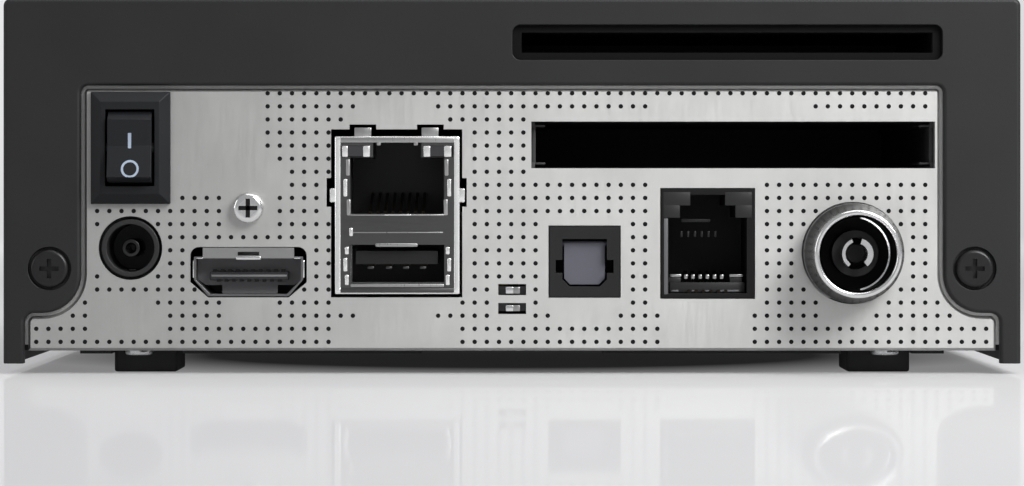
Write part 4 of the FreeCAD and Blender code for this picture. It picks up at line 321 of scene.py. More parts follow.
# Painted shade: the plate's tone is darkened towards the switch and lifted at the far end, as
# the light falls from the right: the share of its tone at both ends.
PAINTED_SHADE_SPAN = (-0.05, 0.005)
PAINTED_SHADE_SHARE = (0.74, 1.1)
tree = panel_zinc.node_tree
across = add(tree, "SeparateXYZ", {0: add(tree, "TexCoord").outputs["Object"]}).outputs["X"]
share = add(tree, "MapRange", {
    "Value": across, "From Min": PAINTED_SHADE_SPAN[0], "From Max": PAINTED_SHADE_SPAN[1],
    "To Min": PAINTED_SHADE_SHARE[0], "To Max": PAINTED_SHADE_SHARE[1],
}).outputs["Result"]
skin = tree.nodes["Principled BSDF"].inputs["Base Color"]
painted_shade_tone = add(tree, "VectorMath", {0: skin.links[0].from_socket, 1: share}, operation="MULTIPLY")
tree.links.new(painted_shade_tone.outputs["Vector"], skin)
softened("socket_panel", "rear_panel", panel_zinc, "case", 0.08)

DOT_DIAMETER = 0.62
DOT_THICKNESS = 0.02
DOT_SINK = 0.002
DOT_PITCH_X = 1.641
DOT_PITCH_Z = 1.7631
DOT_LEFT = -55.9
DOT_TOP = 37.81
DOT_ROWS = 20
# First and last column of the upper rows, then of each row down the flare.
FULL_ROW = (0, 68)
ROW_ENDS = {16: (-1, 69), 17: (-2, 70), 18: (-5, 73), 19: (-5, 73)}
# What the print leaves bare, round the sockets and at blank label places: columns, then rows.
BARE = (
    (0, 13, 0, 7), (14, 14, 5, 7), (15, 15, 6, 7), (0, 6, 8, 8), (11, 14, 8, 10),
    (22, 27, 1, 1), (21, 28, 2, 2), (20, 30, 3, 15), (19, 19, 7, 9), (20, 29, 16, 16),
    (22, 27, 17, 17), (20, 29, 18, 19), (46, 58, 1, 1), (36, 69, 2, 6), (33, 35, 15, 17),
    (37, 43, 10, 16), (38, 42, 17, 17), (46, 54, 7, 16), (47, 53, 17, 19),
    (1, 4, 10, 14), (0, 5, 11, 13), (8, 17, 12, 14), (9, 16, 15, 15), (11, 14, 16, 17),
    (0, 4, 16, 16), (0, 5, 17, 18), (60, 64, 9, 9), (59, 65, 10, 10), (58, 66, 11, 14),
    (59, 65, 15, 15), (60, 64, 16, 16), (60, 63, 17, 17),
)

# Screen ink, cured: flat near-black, a little worn through at the edges of each dot.
INK_WEAR = 0.25
dot_ink, tree, shader = blank("cured_black_screen_ink", "#262627", 0.7)
shader.inputs["Specular IOR Level"].default_value = 0.15
place = add(tree, "TexCoord").outputs["Object"]
worn = add(tree, "TexNoise", {"Vector": place, "Scale": 1 / (INK_WEAR * MM), "Detail": 3.0})
ink = add(tree, "ValToRGB", {"Fac": worn.outputs["Fac"]}, (
    (0.3, linear("#070708")), (0.75, linear("#181819")),
))
tree.links.new(ink.outputs["Color"], shader.inputs["Base Color"])

panel_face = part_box("rear_panel")[0].y / MM
bm = bmesh.new()
turn = Matrix.Rotation(math.radians(90), 4, "X")
bmesh.ops.create_circle(bm, cap_ends=True, radius=DOT_DIAMETER / 2, segments=12, matrix=turn)
raised = verts_of(bmesh.ops.extrude_face_region(bm, geom=list(bm.faces)))
bmesh.ops.translate(bm, verts=raised, vec=(0, -DOT_THICKNESS, 0))
corners = list(bm.verts)
stamp = corners + list(bm.edges) + list(bm.faces)
for row in range(DOT_ROWS):
    first, last = ROW_ENDS.get(row, FULL_ROW)
    for column in range(first, last + 1):
        if any(a <= column <= b and c <= row <= d for a, b, c, d in BARE):
            continue
        dot = verts_of(bmesh.ops.duplicate(bm, geom=stamp))
        x, z = DOT_LEFT + column * DOT_PITCH_X, DOT_TOP - row * DOT_PITCH_Z
        bmesh.ops.translate(bm, verts=dot, vec=(x, panel_face + DOT_SINK, z))
bmesh.ops.delete(bm, geom=corners, context="VERTS")
shaped("panel_dots", bm, dot_ink, "case", "panel_steel")


# ---------------------------------------------------------------- floor and feet
# Black powder-coated steel tray with pressed stiffening ribs and dimples, on four rubber pads
# that are glued into its corners.

# Powder coat: black with a fine orange-peel texture that spreads the highlights.
floor_paint = moulded("black_powder_coat", "#262626", 0.48, 0.6, 0.02)
softened("floor_tray", "base_plate", floor_paint, "case", 0.1)
# Rubber, moulded: the dullest black on the box.
foot_rubber = moulded("black_nitrile_rubber", "#404040", 0.85, 0.35, 0.03, 0.2)
softened("rubber_feet", "feet", foot_rubber, "case", 0.3)


# ---------------------------------------------------------------- screws
# Black zinc cross-head screws hold the cover at the rear, a nickel-plated pan head holds the
# panel, and bright zinc screws come up through the floor and hold the board.
PAN_CROSS_SPAN = 2.5
PAN_CROSS_WIDTH = 0.56
PAN_CROSS_SINK = 0.14
PAN_CROSS_DEPTH = 0.65


def dress(node, material):
    """Gives a CAD node that stays in sight its material."""
    for slot in nodes[node].material_slots:
        slot.material = material


def brick(bm, x, y, z, edge=0.0, segments=2):
    """Box between pairs of x, y and z, with its edges rounded by a radius."""
    size = [b - a for a, b in (x, y, z)]
    middle = [(a + b) / 2 for a, b in (x, y, z)]
    matrix = Matrix.Translation(middle) @ Matrix.Diagonal((*size, 1))
    made = bmesh.ops.create_cube(bm, size=1, matrix=matrix)["verts"]
    if edge:
        rims = list({e for v in made for e in v.link_edges})
        bmesh.ops.bevel(
            bm, geom=rims, offset=edge, offset_type="OFFSET", affect="EDGES", segments=segments,
            profile=0.5, material=-1,
        )


# Black zinc on a turned head: dark metal with small soft glints.
black_zinc = plated("black_zinc_steel", "#2b2b2c", 0.36, 0.12, (1.0, 1.0, 1.0), 0.7)
# Bright nickel, barrel plated: a near mirror.
nickel = plated("bright_nickel_plate", "#e6e6e6", 0.16, 0.3, (1.0, 1.0, 0.3), 1.0, 0.002)
# Zinc, blue passivated: silver and satin.
zinc = plated("bright_zinc_steel", "#c9cacb", 0.28, 0.2, (1.0, 1.0, 1.0))
softened("rear_screws", "cover_screws", black_zinc, "case", 0.03)
softened("panel_pan_screw", "panel_screw", nickel, "case", 0)
softened("floor_screws", "bottom_screws", zinc, "case", 0)
dress("board_screws", zinc)

# Down in the driver's cross of the pan head the nickel is painted dark as the shade in the recess.
recess_painted_shade = plated("nickel_recess_painted_shade", "#2e2e2f", 0.4, 0.3, (1.0, 1.0, 1.0))
low, high = (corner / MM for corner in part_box("panel_screw"))
pan_x, pan_z = (low.x + high.x) / 2, (low.z + high.z) / 2
cross_y = (low.y + PAN_CROSS_SINK, low.y + PAN_CROSS_DEPTH)
bm = bmesh.new()
for wide, tall in ((PAN_CROSS_SPAN, PAN_CROSS_WIDTH), (PAN_CROSS_WIDTH, PAN_CROSS_SPAN)):
    cross_x, cross_z = (pan_x - wide / 2, pan_x + wide / 2), (pan_z - tall / 2, pan_z + tall / 2)
    brick(bm, cross_x, cross_y, cross_z)
shaped("pan_screw_cross", bm, recess_painted_shade, "case", "bright_screw")


# ---------------------------------------------------------------- power switch
# Snap-in rocker switch in black nylon: a frame that slopes up on four mitred sides to its
# mouth, and a two-face paddle with the marks I and O pad-printed in pale blue-white.

# Bar: middle across and up, width, height. Ring: middle across and up, radius, stroke.
BAR_MARK = (-51.31, 31.4, 0.44, 2.05)
RING_MARK = (-51.2, 27.6, 1.2, 0.3)
MARK_THICKNESS = 0.02
MARK_SINK = 0.004


def lathe(bm, x, z, profile, steps=96, closed=False, start=0, sweep=360):
    """Turns a profile of radius and y about the line along Y through x, z."""
    swing = Matrix.Rotation(math.radians(-start), 4, "Y")
    spots = [swing @ Vector((r, y, 0)) + Vector((x, 0, z)) for r, y in profile]
    line = [bm.verts.new(spot) for spot in spots]
    pairs = list(zip(line, line[1:])) + ([(line[-1], line[0])] if closed else [])
    geom = line + [bm.edges.new(pair) for pair in pairs]
    full = sweep == 360
    if not full:
        geom.append(bm.faces.new(line))
    bmesh.ops.spin(
        bm, geom=geom, cent=(x, 0, z), axis=(0, -1, 0), dvec=(0, 0, 0), angle=math.radians(sweep),
        steps=steps, use_merge=full, use_duplicate=False,
    )
    bmesh.ops.remove_doubles(bm, verts=bm.verts, dist=0.0005)


# Nylon 66, moulded: near-black with a faint blue cast; the paddle is polished a little more.
switch_nylon = moulded("black_nylon_frame", "#1a1b1d", 0.48, 0.18, 0.006, 0.2)
rocker_nylon = moulded("black_nylon_paddle", "#18191c", 0.42, 0.15, 0.004, 0.25)
softened("switch_frame", "switch_body", switch_nylon, "case", 0.12, 20)
softened("switch_paddle", "switch_rocker", rocker_nylon, "rocker", 0.08, 6)

# Pad-printing ink: matt, pale, with the grain of the nylon under it.
mark_ink = moulded("pale_blue_pad_print", "#94a1b2", 0.5, 0.2, 0.003)
bm = bmesh.new()
x, z, width, height = BAR_MARK
brick(bm, (x - width / 2, x + width / 2), (0, MARK_THICKNESS), (z - height / 2, z + height / 2))
x, z, radius, stroke = RING_MARK
hole = radius - stroke
ring = [(radius, 0), (radius, MARK_THICKNESS), (hole, MARK_THICKNESS), (hole, 0)]
lathe(bm, x, z, ring, 48, closed=True)
bmesh.ops.subdivide_edges(bm, edges=bm.edges, cuts=2, use_grid_fill=True)
solid = bmesh.new()
solid.from_mesh(nodes["switch_rocker"].data)
paddle = BVHTree.FromBMesh(solid)
solid.free()
for vert in bm.verts:
    start = Vector((vert.co.x * MM, rear_y * MM - 0.02, vert.co.z * MM))
    spot = paddle.ray_cast(start, Vector((0, 1, 0)))[0]
    vert.co.y += spot.y / MM - MARK_THICKNESS + MARK_SINK
shaped("switch_marks", bm, mark_ink, "rocker", "button_plastic")

# Tinned brass tabs, PVC-covered wires, and a plug of natural nylon.
tinned = plated("tinned_brass_tab", "#c8c2b0", 0.3, 0.2, (1.0, 0.2, 1.0))
wire_vinyl = moulded("red_vinyl_wire_cover", "#7a1f1c", 0.4, 0.4, 0.01)
plug_nylon = moulded("natural_nylon_plug", "#d8d3c4", 0.45, 0.3, 0.01)
dress("switch_terminals", tinned)
dress("switch_wires", wire_vinyl)
dress("switch_plug", plug_nylon)


# ---------------------------------------------------------------- power inlet
# Barrel socket for the 12 V plug, glass-filled PBT: a round nose that fills the hole in the
# panel, a split centre pin and the leaf of the outer contact at the foot of the bore.
PIN_RADIUS = 1.25
PIN_BORE_RADIUS = 0.55
PIN_BORE_DEPTH = 7.0
LEAF_WIDTH = 0.9
LEAF_THICKNESS = 0.25
LEAF_DROP = 3.15

# PBT with glass fibre: black, smooth where it touched the mould, faintly mottled.
socket_black = moulded("black_pbt_socket", "#282829", 0.42, 0.2, 0.006)
softened("inlet_housing", "dc_jack_body", socket_black, "case", 0.15)
low, high = (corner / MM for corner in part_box("dc_jack_pin"))
inlet_x, inlet_z = (low.x + high.x) / 2, (low.z + high.z) / 2
bm = bmesh.new()
lathe(bm, inlet_x, inlet_z, [
    (0, low.y + PIN_BORE_DEPTH), (PIN_BORE_RADIUS, low.y + PIN_BORE_DEPTH),
    (PIN_BORE_RADIUS, low.y + 0.25), (PIN_BORE_RADIUS + 0.2, low.y + 0.02),
    (PIN_RADIUS - 0.35, low.y), (PIN_RADIUS - 0.1, low.y + 0.1), (PIN_RADIUS, low.y + 0.35),
    (PIN_RADIUS, high.y), (0, high.y),
], 64)
# Nickel on brass, painted dark as the shade of its deep bore: dark metal with one small glint.
nickel_painted_bore_shade = plated("nickel_bore_painted_shade", "#3a3a3b", 0.24, 0.25, (1.0, 0.3, 1.0), 1.0, 0.003)
shaped("inlet_pin", bm, nickel_painted_bore_shade, "case", "brass_post", "dc_jack_pin")
bm = bmesh.new()
leaf_z = inlet_z - LEAF_DROP
brick(
    bm, (inlet_x - LEAF_WIDTH / 2, inlet_x + LEAF_WIDTH / 2), (low.y + 1.5, high.y - 0.5),
    (leaf_z, leaf_z + LEAF_THICKNESS), 0.08,
)
shaped("inlet_leaf", bm, nickel_painted_bore_shade, "case", "socket_steel")


# ---------------------------------------------------------------- hdmi socket
# Drawn steel shell with a grounding flange above it that is pierced and curled into a small
# bright lip, a black tongue with contacts on both faces, and the moulded wall behind them.
HDMI_LIP_HALF = 1.7
HDMI_LIP_Z = (15.36, 15.86)
HDMI_LIP_REACH = 0.35
# Ends of the lip, and the wings beside the shell: from and to outwards, then up.
HDMI_LIP_END = (6.15, 7.0, 15.5, 15.68)
HDMI_WING = (7.2, 7.55, 12.9, 15.3)
# The flange round its pierced hole: from and to across from the middle of the socket, then up.
HDMI_FLANGE = (
    (-6.15, -1.45, 15.6, 17.0), (1.45, 6.15, 15.6, 17.0),
    (-1.45, 1.45, 16.45, 17.0), (-1.45, 1.45, 15.6, 15.95),
)
HDMI_BLADE_HALF = 5.1
HDMI_BLADE_EDGE = (13.04, 13.34)
# Teeth: how many stand in a row and at what height, then half the width and height of one.
HDMI_TEETH = ((10, 13.88), (9, 12.58))
HDMI_TEETH_PITCH = 1.03
HDMI_TOOTH = (0.27, 0.19)
# Right half of the moulded wall's outline: across from the middle, then up.
HDMI_WALL = ((7.05, 15.5), (7.05, 12.65), (6.0, 11.9), (3.75, 11.9), (3.75, 10.75))
HDMI_WALL_DEPTH = 3.6
HDMI_WALL_THICKNESS = 0.5
low, high = (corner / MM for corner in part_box("hdmi_shell"))
hdmi_x = (low.x + high.x) / 2
hdmi_face = low.y

# Drawn nickel silver: grey metal with fine marks along the draw. Its two darker copies are
# painted shade: a dim one in mouths and slots, and one on the shell.
drawn_nickel = plated("drawn_nickel_silver", "#a6a6a5", 0.32, 0.25, (0.1, 1.0, 1.0))
drawn_painted_dim = plated("drawn_nickel_silver_painted_dim", "#505051", 0.36, 0.25, (0.1, 1.0, 1.0))
drawn_painted_shade = plated("drawn_nickel_silver_painted_shade", "#747475", 0.4, 0.25, (1.0, 0.1, 1.0))
# Gold flash over nickel: a thin brownish gold, nearly black down in a mouth.
contact_gold = plated("gold_flash_contact", "#8f7a4a", 0.3, 0.2, (1.0, 0.2, 1.0))
shadow_gold = plated("gold_flash_in_shade", "#2c2720", 0.4, 0.2, (1.0, 0.2, 1.0))
# Liquid-crystal polymer, moulded: a stiff grey plastic with a low sheen.
tongue_grey = moulded("grey_lcp_tongue", "#2c2c2e", 0.4, 0.15, 0.004)
softened("hdmi_shell_sheet", "hdmi_shell", drawn_painted_shade, "case", 0.06)
softened("hdmi_blade", "hdmi_tongue", tongue_grey, "case", 0.1)
dress("hdmi_contacts", shadow_gold)
bm = bmesh.new()
for x0, x1, z0, z1 in HDMI_FLANGE:
    brick(bm, (hdmi_x + x0, hdmi_x + x1), (hdmi_face - 0.03, hdmi_face + 0.1), (z0, z1))
shaped("hdmi_flange", bm, drawn_nickel, "case", "socket_steel")
# The lip, its ends and the wings beside the shell are in bright nickel, a lighter copy of the
# flange's metal: painted highlights where their curled edges catch the light.
bm = bmesh.new()
lip_x = (hdmi_x - HDMI_LIP_HALF, hdmi_x + HDMI_LIP_HALF)
brick(bm, lip_x, (hdmi_face - HDMI_LIP_REACH, hdmi_face + 0.2), HDMI_LIP_Z, 0.14, 3)
for side in (-1, 1):
    x0, x1, z0, z1 = HDMI_LIP_END
    end = sorted((hdmi_x + side * x0, hdmi_x + side * x1))
    brick(bm, end, (hdmi_face - 0.05, hdmi_face + 0.15), (z0, z1), 0.06)
    x0, x1, z0, z1 = HDMI_WING
    wing = sorted((hdmi_x + side * x0, hdmi_x + side * x1))
    brick(bm, wing, (hdmi_face + 0.35, hdmi_face + 3.0), (z0, z1), 0.12)
shaped("hdmi_lip", bm, nickel, "case", "socket_steel")

# A pale strip across the tongue's front is a painted highlight on its edge; where the contacts
# end, black squares in a comb stand for the painted shade in their grooves.
edge_painted_highlight = moulded("lcp_edge_painted_highlight", "#767677", 0.45, 0.15, 0.004)
teeth_painted_shade = moulded("lcp_teeth_painted_shade", "#0f0f10", 0.5, 0.15, 0.004, 0.2)
blade_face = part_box("hdmi_tongue")[0].y / MM
blade_x = (hdmi_x - HDMI_BLADE_HALF, hdmi_x + HDMI_BLADE_HALF)
bm = bmesh.new()
brick(bm, blade_x, (blade_face - 0.03, blade_face + 0.1), HDMI_BLADE_EDGE, 0.05)
shaped("hdmi_blade_edge", bm, edge_painted_highlight, "case", "socket_plastic")
bm = bmesh.new()
wide, tall = HDMI_TOOTH
for count, z in HDMI_TEETH:
    for index in range(count):
        x = hdmi_x + (index - (count - 1) / 2) * HDMI_TEETH_PITCH
        tooth_y = (blade_face - 0.02, blade_face + 0.2)
        brick(bm, (x - wide, x + wide), tooth_y, (z - tall, z + tall))
shaped("hdmi_teeth", bm, teeth_painted_shade, "case", "socket_plastic")

# The wall is the same polymer, left rougher, and painted much paler than the tongue as painted
# light, though it is seen in half shade.
wall_painted_light = moulded("lcp_wall_painted_light", "#7a7a7c", 0.5, 0.3, 0.01)
outline = [*HDMI_WALL, *((-x, z) for x, z in reversed(HDMI_WALL))]
wall_y = hdmi_face + HDMI_WALL_DEPTH
bm = bmesh.new()
wall = bm.faces.new([bm.verts.new((hdmi_x + x, wall_y, z)) for x, z in outline])
moved = verts_of(bmesh.ops.extrude_face_region(bm, geom=[wall]))
bmesh.ops.translate(bm, verts=moved, vec=(0, HDMI_WALL_THICKNESS, 0))
shaped("hdmi_rear_wall", bm, wall_painted_light, "case", "socket_plastic")


# ---------------------------------------------------------------- network and usb stack
# One tinplate can for both sockets: a folded rim painted bright as a highlight, a brushed face
# sunk inside it and painted dark as shade, sprung fingers at the sides of both mouths, two lamp
# windows and four outer spring tabs.
STACK_MIDDLE = -15.45
STACK_HALF = 8.35
STACK_Z = (10.8, 31.95)
STACK_RIM = 0.75
STACK_TOP_RIM = 0.8
STACK_SINK = 0.12
STACK_BACK_WALL = 0.4
# Left and right of each mouth, then its bottom, and for the lower one its top.
LAN_MOUTH = (-21.78, -9.12, 21.45)
LAN_LATCH = (-18.72, -12.18)
USB_MOUTH = (-21.85, -9.05, 12.1, 17.4)
LAMP_Z = (29.2, 30.75)
LAMP_OUTER = (-22.95, -7.95)
LAMP_INNER = (-19.15, -11.75)
LAMP_ENDS = ((-22.93, -22.05), (-20.1, -19.1), (-11.95, -10.95), (-9.2, -8.1))
# Fingers: low, high and how far each leans into the mouth. Those that lean most lie in shade.
FINGERS = (
    (26.65, 28.95, 0.35), (23.85, 26.3, 0.0), (21.3, 23.55, 0.45),
    (16.05, 17.15, 0.2), (13.75, 15.65, 0.0), (11.9, 13.4, 0.2),
)
FINGER_WIDTH = 0.62
TABS_TOP = ((-21.25, -18.95), (-12.2, -9.9))
TABS_SIDE_Z = (23.1, 25.0)
# Pips and folds on the face: left, right, bottom, top, how far each stands out, and the radius
# and steps of its edges.
FACE_PIPS = ((-21.95, -21.4, 18.5, 19.7, 0.12, 0.2, 3), (-17.2, -13.6, 21.32, 21.5, 0.1, 0.07, 2))
FACE_FOLDS = (
    (-21.78, -9.12, 21.3, 21.52, 0.08, 0.07, 2), (-21.48, -9.32, 18.98, 19.12, 0.06, 0.05, 2),
    (-21.75, -9.15, 11.68, 12.14, 0.1, 0.14, 3),
)
LATCH_PIPS = (-17.95, -12.95)
LATCH_PIP_Z = (30.75, 31.3)
USB_ROOF = ((-18.4, -12.7), (17.1, 17.62))
USB_TIPS = (-19.05, -16.6, -14.3, -12.0)
USB_TIP_HALF = 0.42
USB_TIP_Z = (14.12, 14.48)
low, high = (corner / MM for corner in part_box("lan_usb_shell"))
left, right = STACK_MIDDLE - STACK_HALF, STACK_MIDDLE + STACK_HALF
front, back = low.y, high.y
floor_z, top_z = STACK_Z

# Tinplate rim, folded: painted almost white where it turns, as a painted highlight.
tin_painted_highlight = plated("tinplate_painted_highlight", "#f2f2f1", 0.22, 0.2, (1.0, 1.0, 0.1), 0.82, 0.002)
# The sunk face: brushed, with lines across it, and painted dark grey as painted shade.
tin_painted_shade = plated("brushed_tinplate_painted_shade", "#585858", 0.4, 0.16, (0.04, 1.0, 1.0), 1.0, 0.02)
# Where it folds away from the light the same tin is a plain middle grey.
fold_tin = plated("folded_tinplate_shade", "#b0b0af", 0.3, 0.2, (1.0, 1.0, 0.1), 1.0, 0.002)
bm = bmesh.new()
brick(bm, (left, right), (front, back), (floor_z, top_z))
mouth = [f for f in bm.faces if f.normal.y < -0.9]
bmesh.ops.inset_region(bm, faces=mouth, thickness=STACK_RIM, use_even_offset=True)
sunk = verts_of(bmesh.ops.extrude_face_region(bm, geom=mouth))
bmesh.ops.translate(bm, verts=sunk, vec=(0, back - front - STACK_BACK_WALL, 0))
bmesh.ops.delete(bm, geom=mouth, context="FACES_ONLY")
rims = [e for e in bm.edges if all(abs(v.co.y - front) < 0.01 for v in e.verts)]
bmesh.ops.bevel(
    bm, geom=rims, offset=0.22, offset_type="OFFSET", affect="EDGES", segments=3, profile=0.5,
    material=-1,
)
for side, x in ((-1, left), (1, right)):
    tab_x = sorted((x - side * 0.1, x + side * 0.75))
    brick(bm, tab_x, (front + 0.15, front + 2.4), TABS_SIDE_Z, 0.18, 3)
shaped("stack_can", bm, tin_painted_highlight, "case", "socket_steel", "lan_usb_shell")

face_y = (front + STACK_SINK, front + STACK_SINK + 0.35)
inner = (left + STACK_RIM - 0.05, right - STACK_RIM + 0.05)
ceiling = top_z - STACK_TOP_RIM + 0.1
bm = bmesh.new()
for x in ((inner[0], LAN_MOUTH[0]), (LAN_MOUTH[1], inner[1])):
    brick(bm, x, face_y, (floor_z + 0.5, LAMP_Z[0]))
brick(bm, (LAN_MOUTH[0], LAN_MOUTH[1]), face_y, (USB_MOUTH[3], LAN_MOUTH[2]))
brick(bm, (LAN_MOUTH[0], LAN_MOUTH[1]), face_y, (floor_z + 0.5, USB_MOUTH[2]))
for x in ((inner[0], LAMP_OUTER[0]), (LAMP_OUTER[1], inner[1])):
    brick(bm, x, face_y, (LAMP_Z[0], ceiling))
for x in ((LAMP_OUTER[0], LAN_LATCH[0]), (LAN_LATCH[1], LAMP_OUTER[1])):
    brick(bm, x, face_y, (LAMP_Z[1], ceiling))
for x in ((LAMP_INNER[0], LAN_LATCH[0]), (LAN_LATCH[1], LAMP_INNER[1])):
    brick(bm, x, face_y, LAMP_Z)
brick(bm, inner, (front - 0.03, front + 0.3), (floor_z + 0.14, floor_z + 0.74), 0.05)
shaped("stack_face", bm, tin_painted_shade, "case", "socket_steel")

lamp_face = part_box("lan_leds")[0].y / MM
# Fingers, lamp-window ends and pips in the bright tin are painted highlights; the fingers that
# lean most, the tabs and the folds go in the middle grey as painted shade.
bright, shaded = bmesh.new(), bmesh.new()
for z0, z1, lean in FINGERS:
    for side, x in ((1, inner[0] + 0.35), (-1, inner[1] - 0.35)):
        near = x + side * lean
        brick(
            shaded if lean > 0.3 else bright, sorted((near, near + side * FINGER_WIDTH)),
            (front + 0.05, front + 1.1), (z0, z1), 0.2, 3,
        )
for x in LAMP_ENDS:
    brick(bright, x, (lamp_face - 0.04, lamp_face + 0.4), LAMP_Z, 0.18, 3)
for x0, x1, z0, z1, out, edge, steps in FACE_PIPS:
    brick(bright, (x0, x1), (face_y[0] - out, face_y[1]), (z0, z1), edge, steps)
shaped("stack_fingers", bright, tin_painted_highlight, "case", "socket_steel")
for x in TABS_TOP:
    brick(shaded, x, (front + 0.3, front + 2.6), (top_z - 0.1, top_z + 1.25), 0.12)
brick(shaded, inner, (front - 0.03, front + 0.3), (top_z - STACK_TOP_RIM, top_z - 0.08), 0.08)
for x in LATCH_PIPS:
    brick(shaded, (x - 0.3, x + 0.3), (front, front + 0.6), LATCH_PIP_Z, 0.15)
brick(shaded, USB_ROOF[0], (front + 0.02, front + 0.6), USB_ROOF[1], 0.16, 3)
for x0, x1, z0, z1, out, edge, steps in FACE_FOLDS:
    brick(shaded, (x0, x1), (face_y[0] - out, face_y[1]), (z0, z1), edge, steps)
shaped("stack_folds", shaded, fold_tin, "case", "socket_steel")

# Nylon insert and blade: black and matt, the blade painted darker still as painted shade in its
# mouth.
stack_black = moulded("black_nylon_insert", "#2a2a2b", 0.5, 0.2, 0.006)
blade_painted_shade = moulded("black_nylon_blade_painted_shade", "#1b1b1c", 0.5, 0.2, 0.006, 0.25)
# Lamp windows: smoked polycarbonate, smooth and dark while the lamps are off.
lamp_plastic = moulded("smoked_polycarbonate_window", "#303032", 0.22, 0.3, 0.002, 0.5)
softened("stack_insert", "lan_insert", stack_black, "case", 0.05)
# The four contacts of the USB blade turn down at its tip; bricks of the dimmed metal there are
# painted glints.
usb_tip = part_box("usb_tongue")[0].y / MM
bm = bmesh.new()
for x in USB_TIPS:
    tip_x = (x - USB_TIP_HALF, x + USB_TIP_HALF)
    brick(bm, tip_x, (usb_tip - 0.02, usb_tip + 0.8), USB_TIP_Z, 0.12)
shaped("usb_contact_tips", bm, drawn_painted_dim, "case", "contact_gold")
dress("lan_leds", lamp_plastic)
dress("lan_contacts", shadow_gold)
softened("usb_blade", "usb_tongue", blade_painted_shade, "case", 0.08)
dress("usb_contacts", shadow_gold)


# ---------------------------------------------------------------- ground clip
# Spring clip stamped in nickel-plated steel. Its two fingers show in the small slots, painted in
# the dimmed metal as shade, each with a crown in bright nickel as a painted highlight where it
# presses on a plug, and shoulders in a middle tone.
CLIP_CROWN = (-0.85, 0.2)
CLIP_SHOULDER = (0.15, 1.1)
CLIP_CROWNS_Z = ((10.8, 11.72), (8.43, 9.25))
softened("clip_fingers", "ground_clip", drawn_painted_dim, "case", 0)
clip_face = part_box("ground_clip")[0].y / MM
for name, span, lift, metal in (
    ("clip_crowns", CLIP_CROWN, 0.08, nickel),
    ("clip_shoulders", CLIP_SHOULDER, 0.03, drawn_nickel),
):
    bm = bmesh.new()
    for z in CLIP_CROWNS_Z:
        brick(bm, span, (clip_face - lift, clip_face + 0.2), z, 0.12, 3)
    shaped(name, bm, metal, "case", "socket_steel")


# ---------------------------------------------------------------- optical socket
# Square black ABS housing with a sprung blue-grey flap that swings in when a plug is pushed,
# and the lens of the emitter behind it.

# ABS, moulded black: smooth, with a soft even sheen.
optical_abs = moulded("black_abs_housing", "#1b1b1c", 0.44, 0.2, 0.006)
softened("optical_housing", "optical_body", optical_abs, "case", 0.1)
# The flap is ABS dyed blue-grey, smoother than its housing.
flap_abs = moulded("blue_grey_abs_flap", "#5b5b64", 0.42, 0.2, 0.005)
softened("optical_lid", "optical_shutter", flap_abs, "flap", 0.1, 25)
# Red acrylic lens: deep in the socket only a small glint of it shows.
dress("optical_emitter", moulded("clear_red_lens", "#8c1010", 0.2, 0.3, 0.001, 0.5))


# ---------------------------------------------------------------- serial jack
# Six-way modular jack in black PBT with a stepped mouth. A guide strip, painted pale as light,
# stands inside its left wall, and the bent contact wires end over a moulded comb near its floor.
JACK_WAYS = 6
JACK_PIN_Z = 13.05
JACK_PITCH = 0.97
JACK_PIN_SIZE = 0.5
JACK_PIN_SHIFT = 0.45
JACK_DEPTH = 1.6
# Bent ends beside the contacts, and slats painted pale as light under the comb: from and to
# across.
JACK_SIDE_ENDS = ((-5.05, -3.5), (3.0, 4.9))
JACK_SLATS = ((-4.85, -3.85), (-2.1, -1.35), (-0.4, 0.7), (1.7, 4.3))
JACK_COMB_HALF = 5.1
JACK_COMB_Z = (10.9, 12.3)
JACK_COMB_BLOCKS = (-4.4, 3.9)
# Steps at the top of the mouth: the half width each leaves open, then its bottom and top.
JACK_HALF = 5.95
JACK_STEPS = ((2.36, 22.7, 24.5), (3.76, 21.05, 22.72))
JACK_GUIDE = ((-5.9, -5.35), (10.7, 20.95))
JACK_SPRING_LEFT = -3.4
JACK_SPRING_PITCH = 0.92
low, high = (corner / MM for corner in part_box("serial_jack_body"))
jack_x = (low.x + high.x) / 2
jack_front = low.y

# PBT again, in three tones: black body, dark comb in shade, and the guide painted pale as light
# at the edge.
jack_black = moulded("black_pbt_jack", "#0d0d0e", 0.5, 0.2, 0.006, 0.2)
comb_dark = moulded("dark_grey_pbt_comb", "#222223", 0.45, 0.2, 0.006)
guide_painted_light = moulded("pbt_guide_painted_light", "#5e5e60", 0.4, 0.2, 0.006)
softened("serial_jack", "serial_jack_body", jack_black, "case", 0.1)
dress("serial_contacts", shadow_gold)
bm = bmesh.new()
pin_y = (jack_front + JACK_DEPTH, jack_front + JACK_DEPTH + 1)
for index in range(JACK_WAYS):
    x = jack_x - JACK_PIN_SHIFT + (index - (JACK_WAYS - 1) / 2) * JACK_PITCH
    pin_x = (x - JACK_PIN_SIZE / 2, x + JACK_PIN_SIZE / 2)
    brick(bm, pin_x, pin_y, (JACK_PIN_Z - 0.32, JACK_PIN_Z + 0.32), 0.14)
for x0, x1 in JACK_SIDE_ENDS:
    brick(bm, (jack_x + x0, jack_x + x1), pin_y, (13.0, 13.4), 0.12)
shaped("jack_wire_ends", bm, drawn_nickel, "case", "contact_gold")
bm = bmesh.new()
comb_x = (jack_x - JACK_COMB_HALF, jack_x + JACK_COMB_HALF)
brick(bm, comb_x, (jack_front + 1.3, jack_front + 4.0), JACK_COMB_Z, 0.12)
for x in JACK_COMB_BLOCKS:
    block_x = (jack_x + x - 0.85, jack_x + x + 0.85)
    brick(bm, block_x, (jack_front + 1.5, jack_front + 4.0), (12.2, 12.95), 0.1)
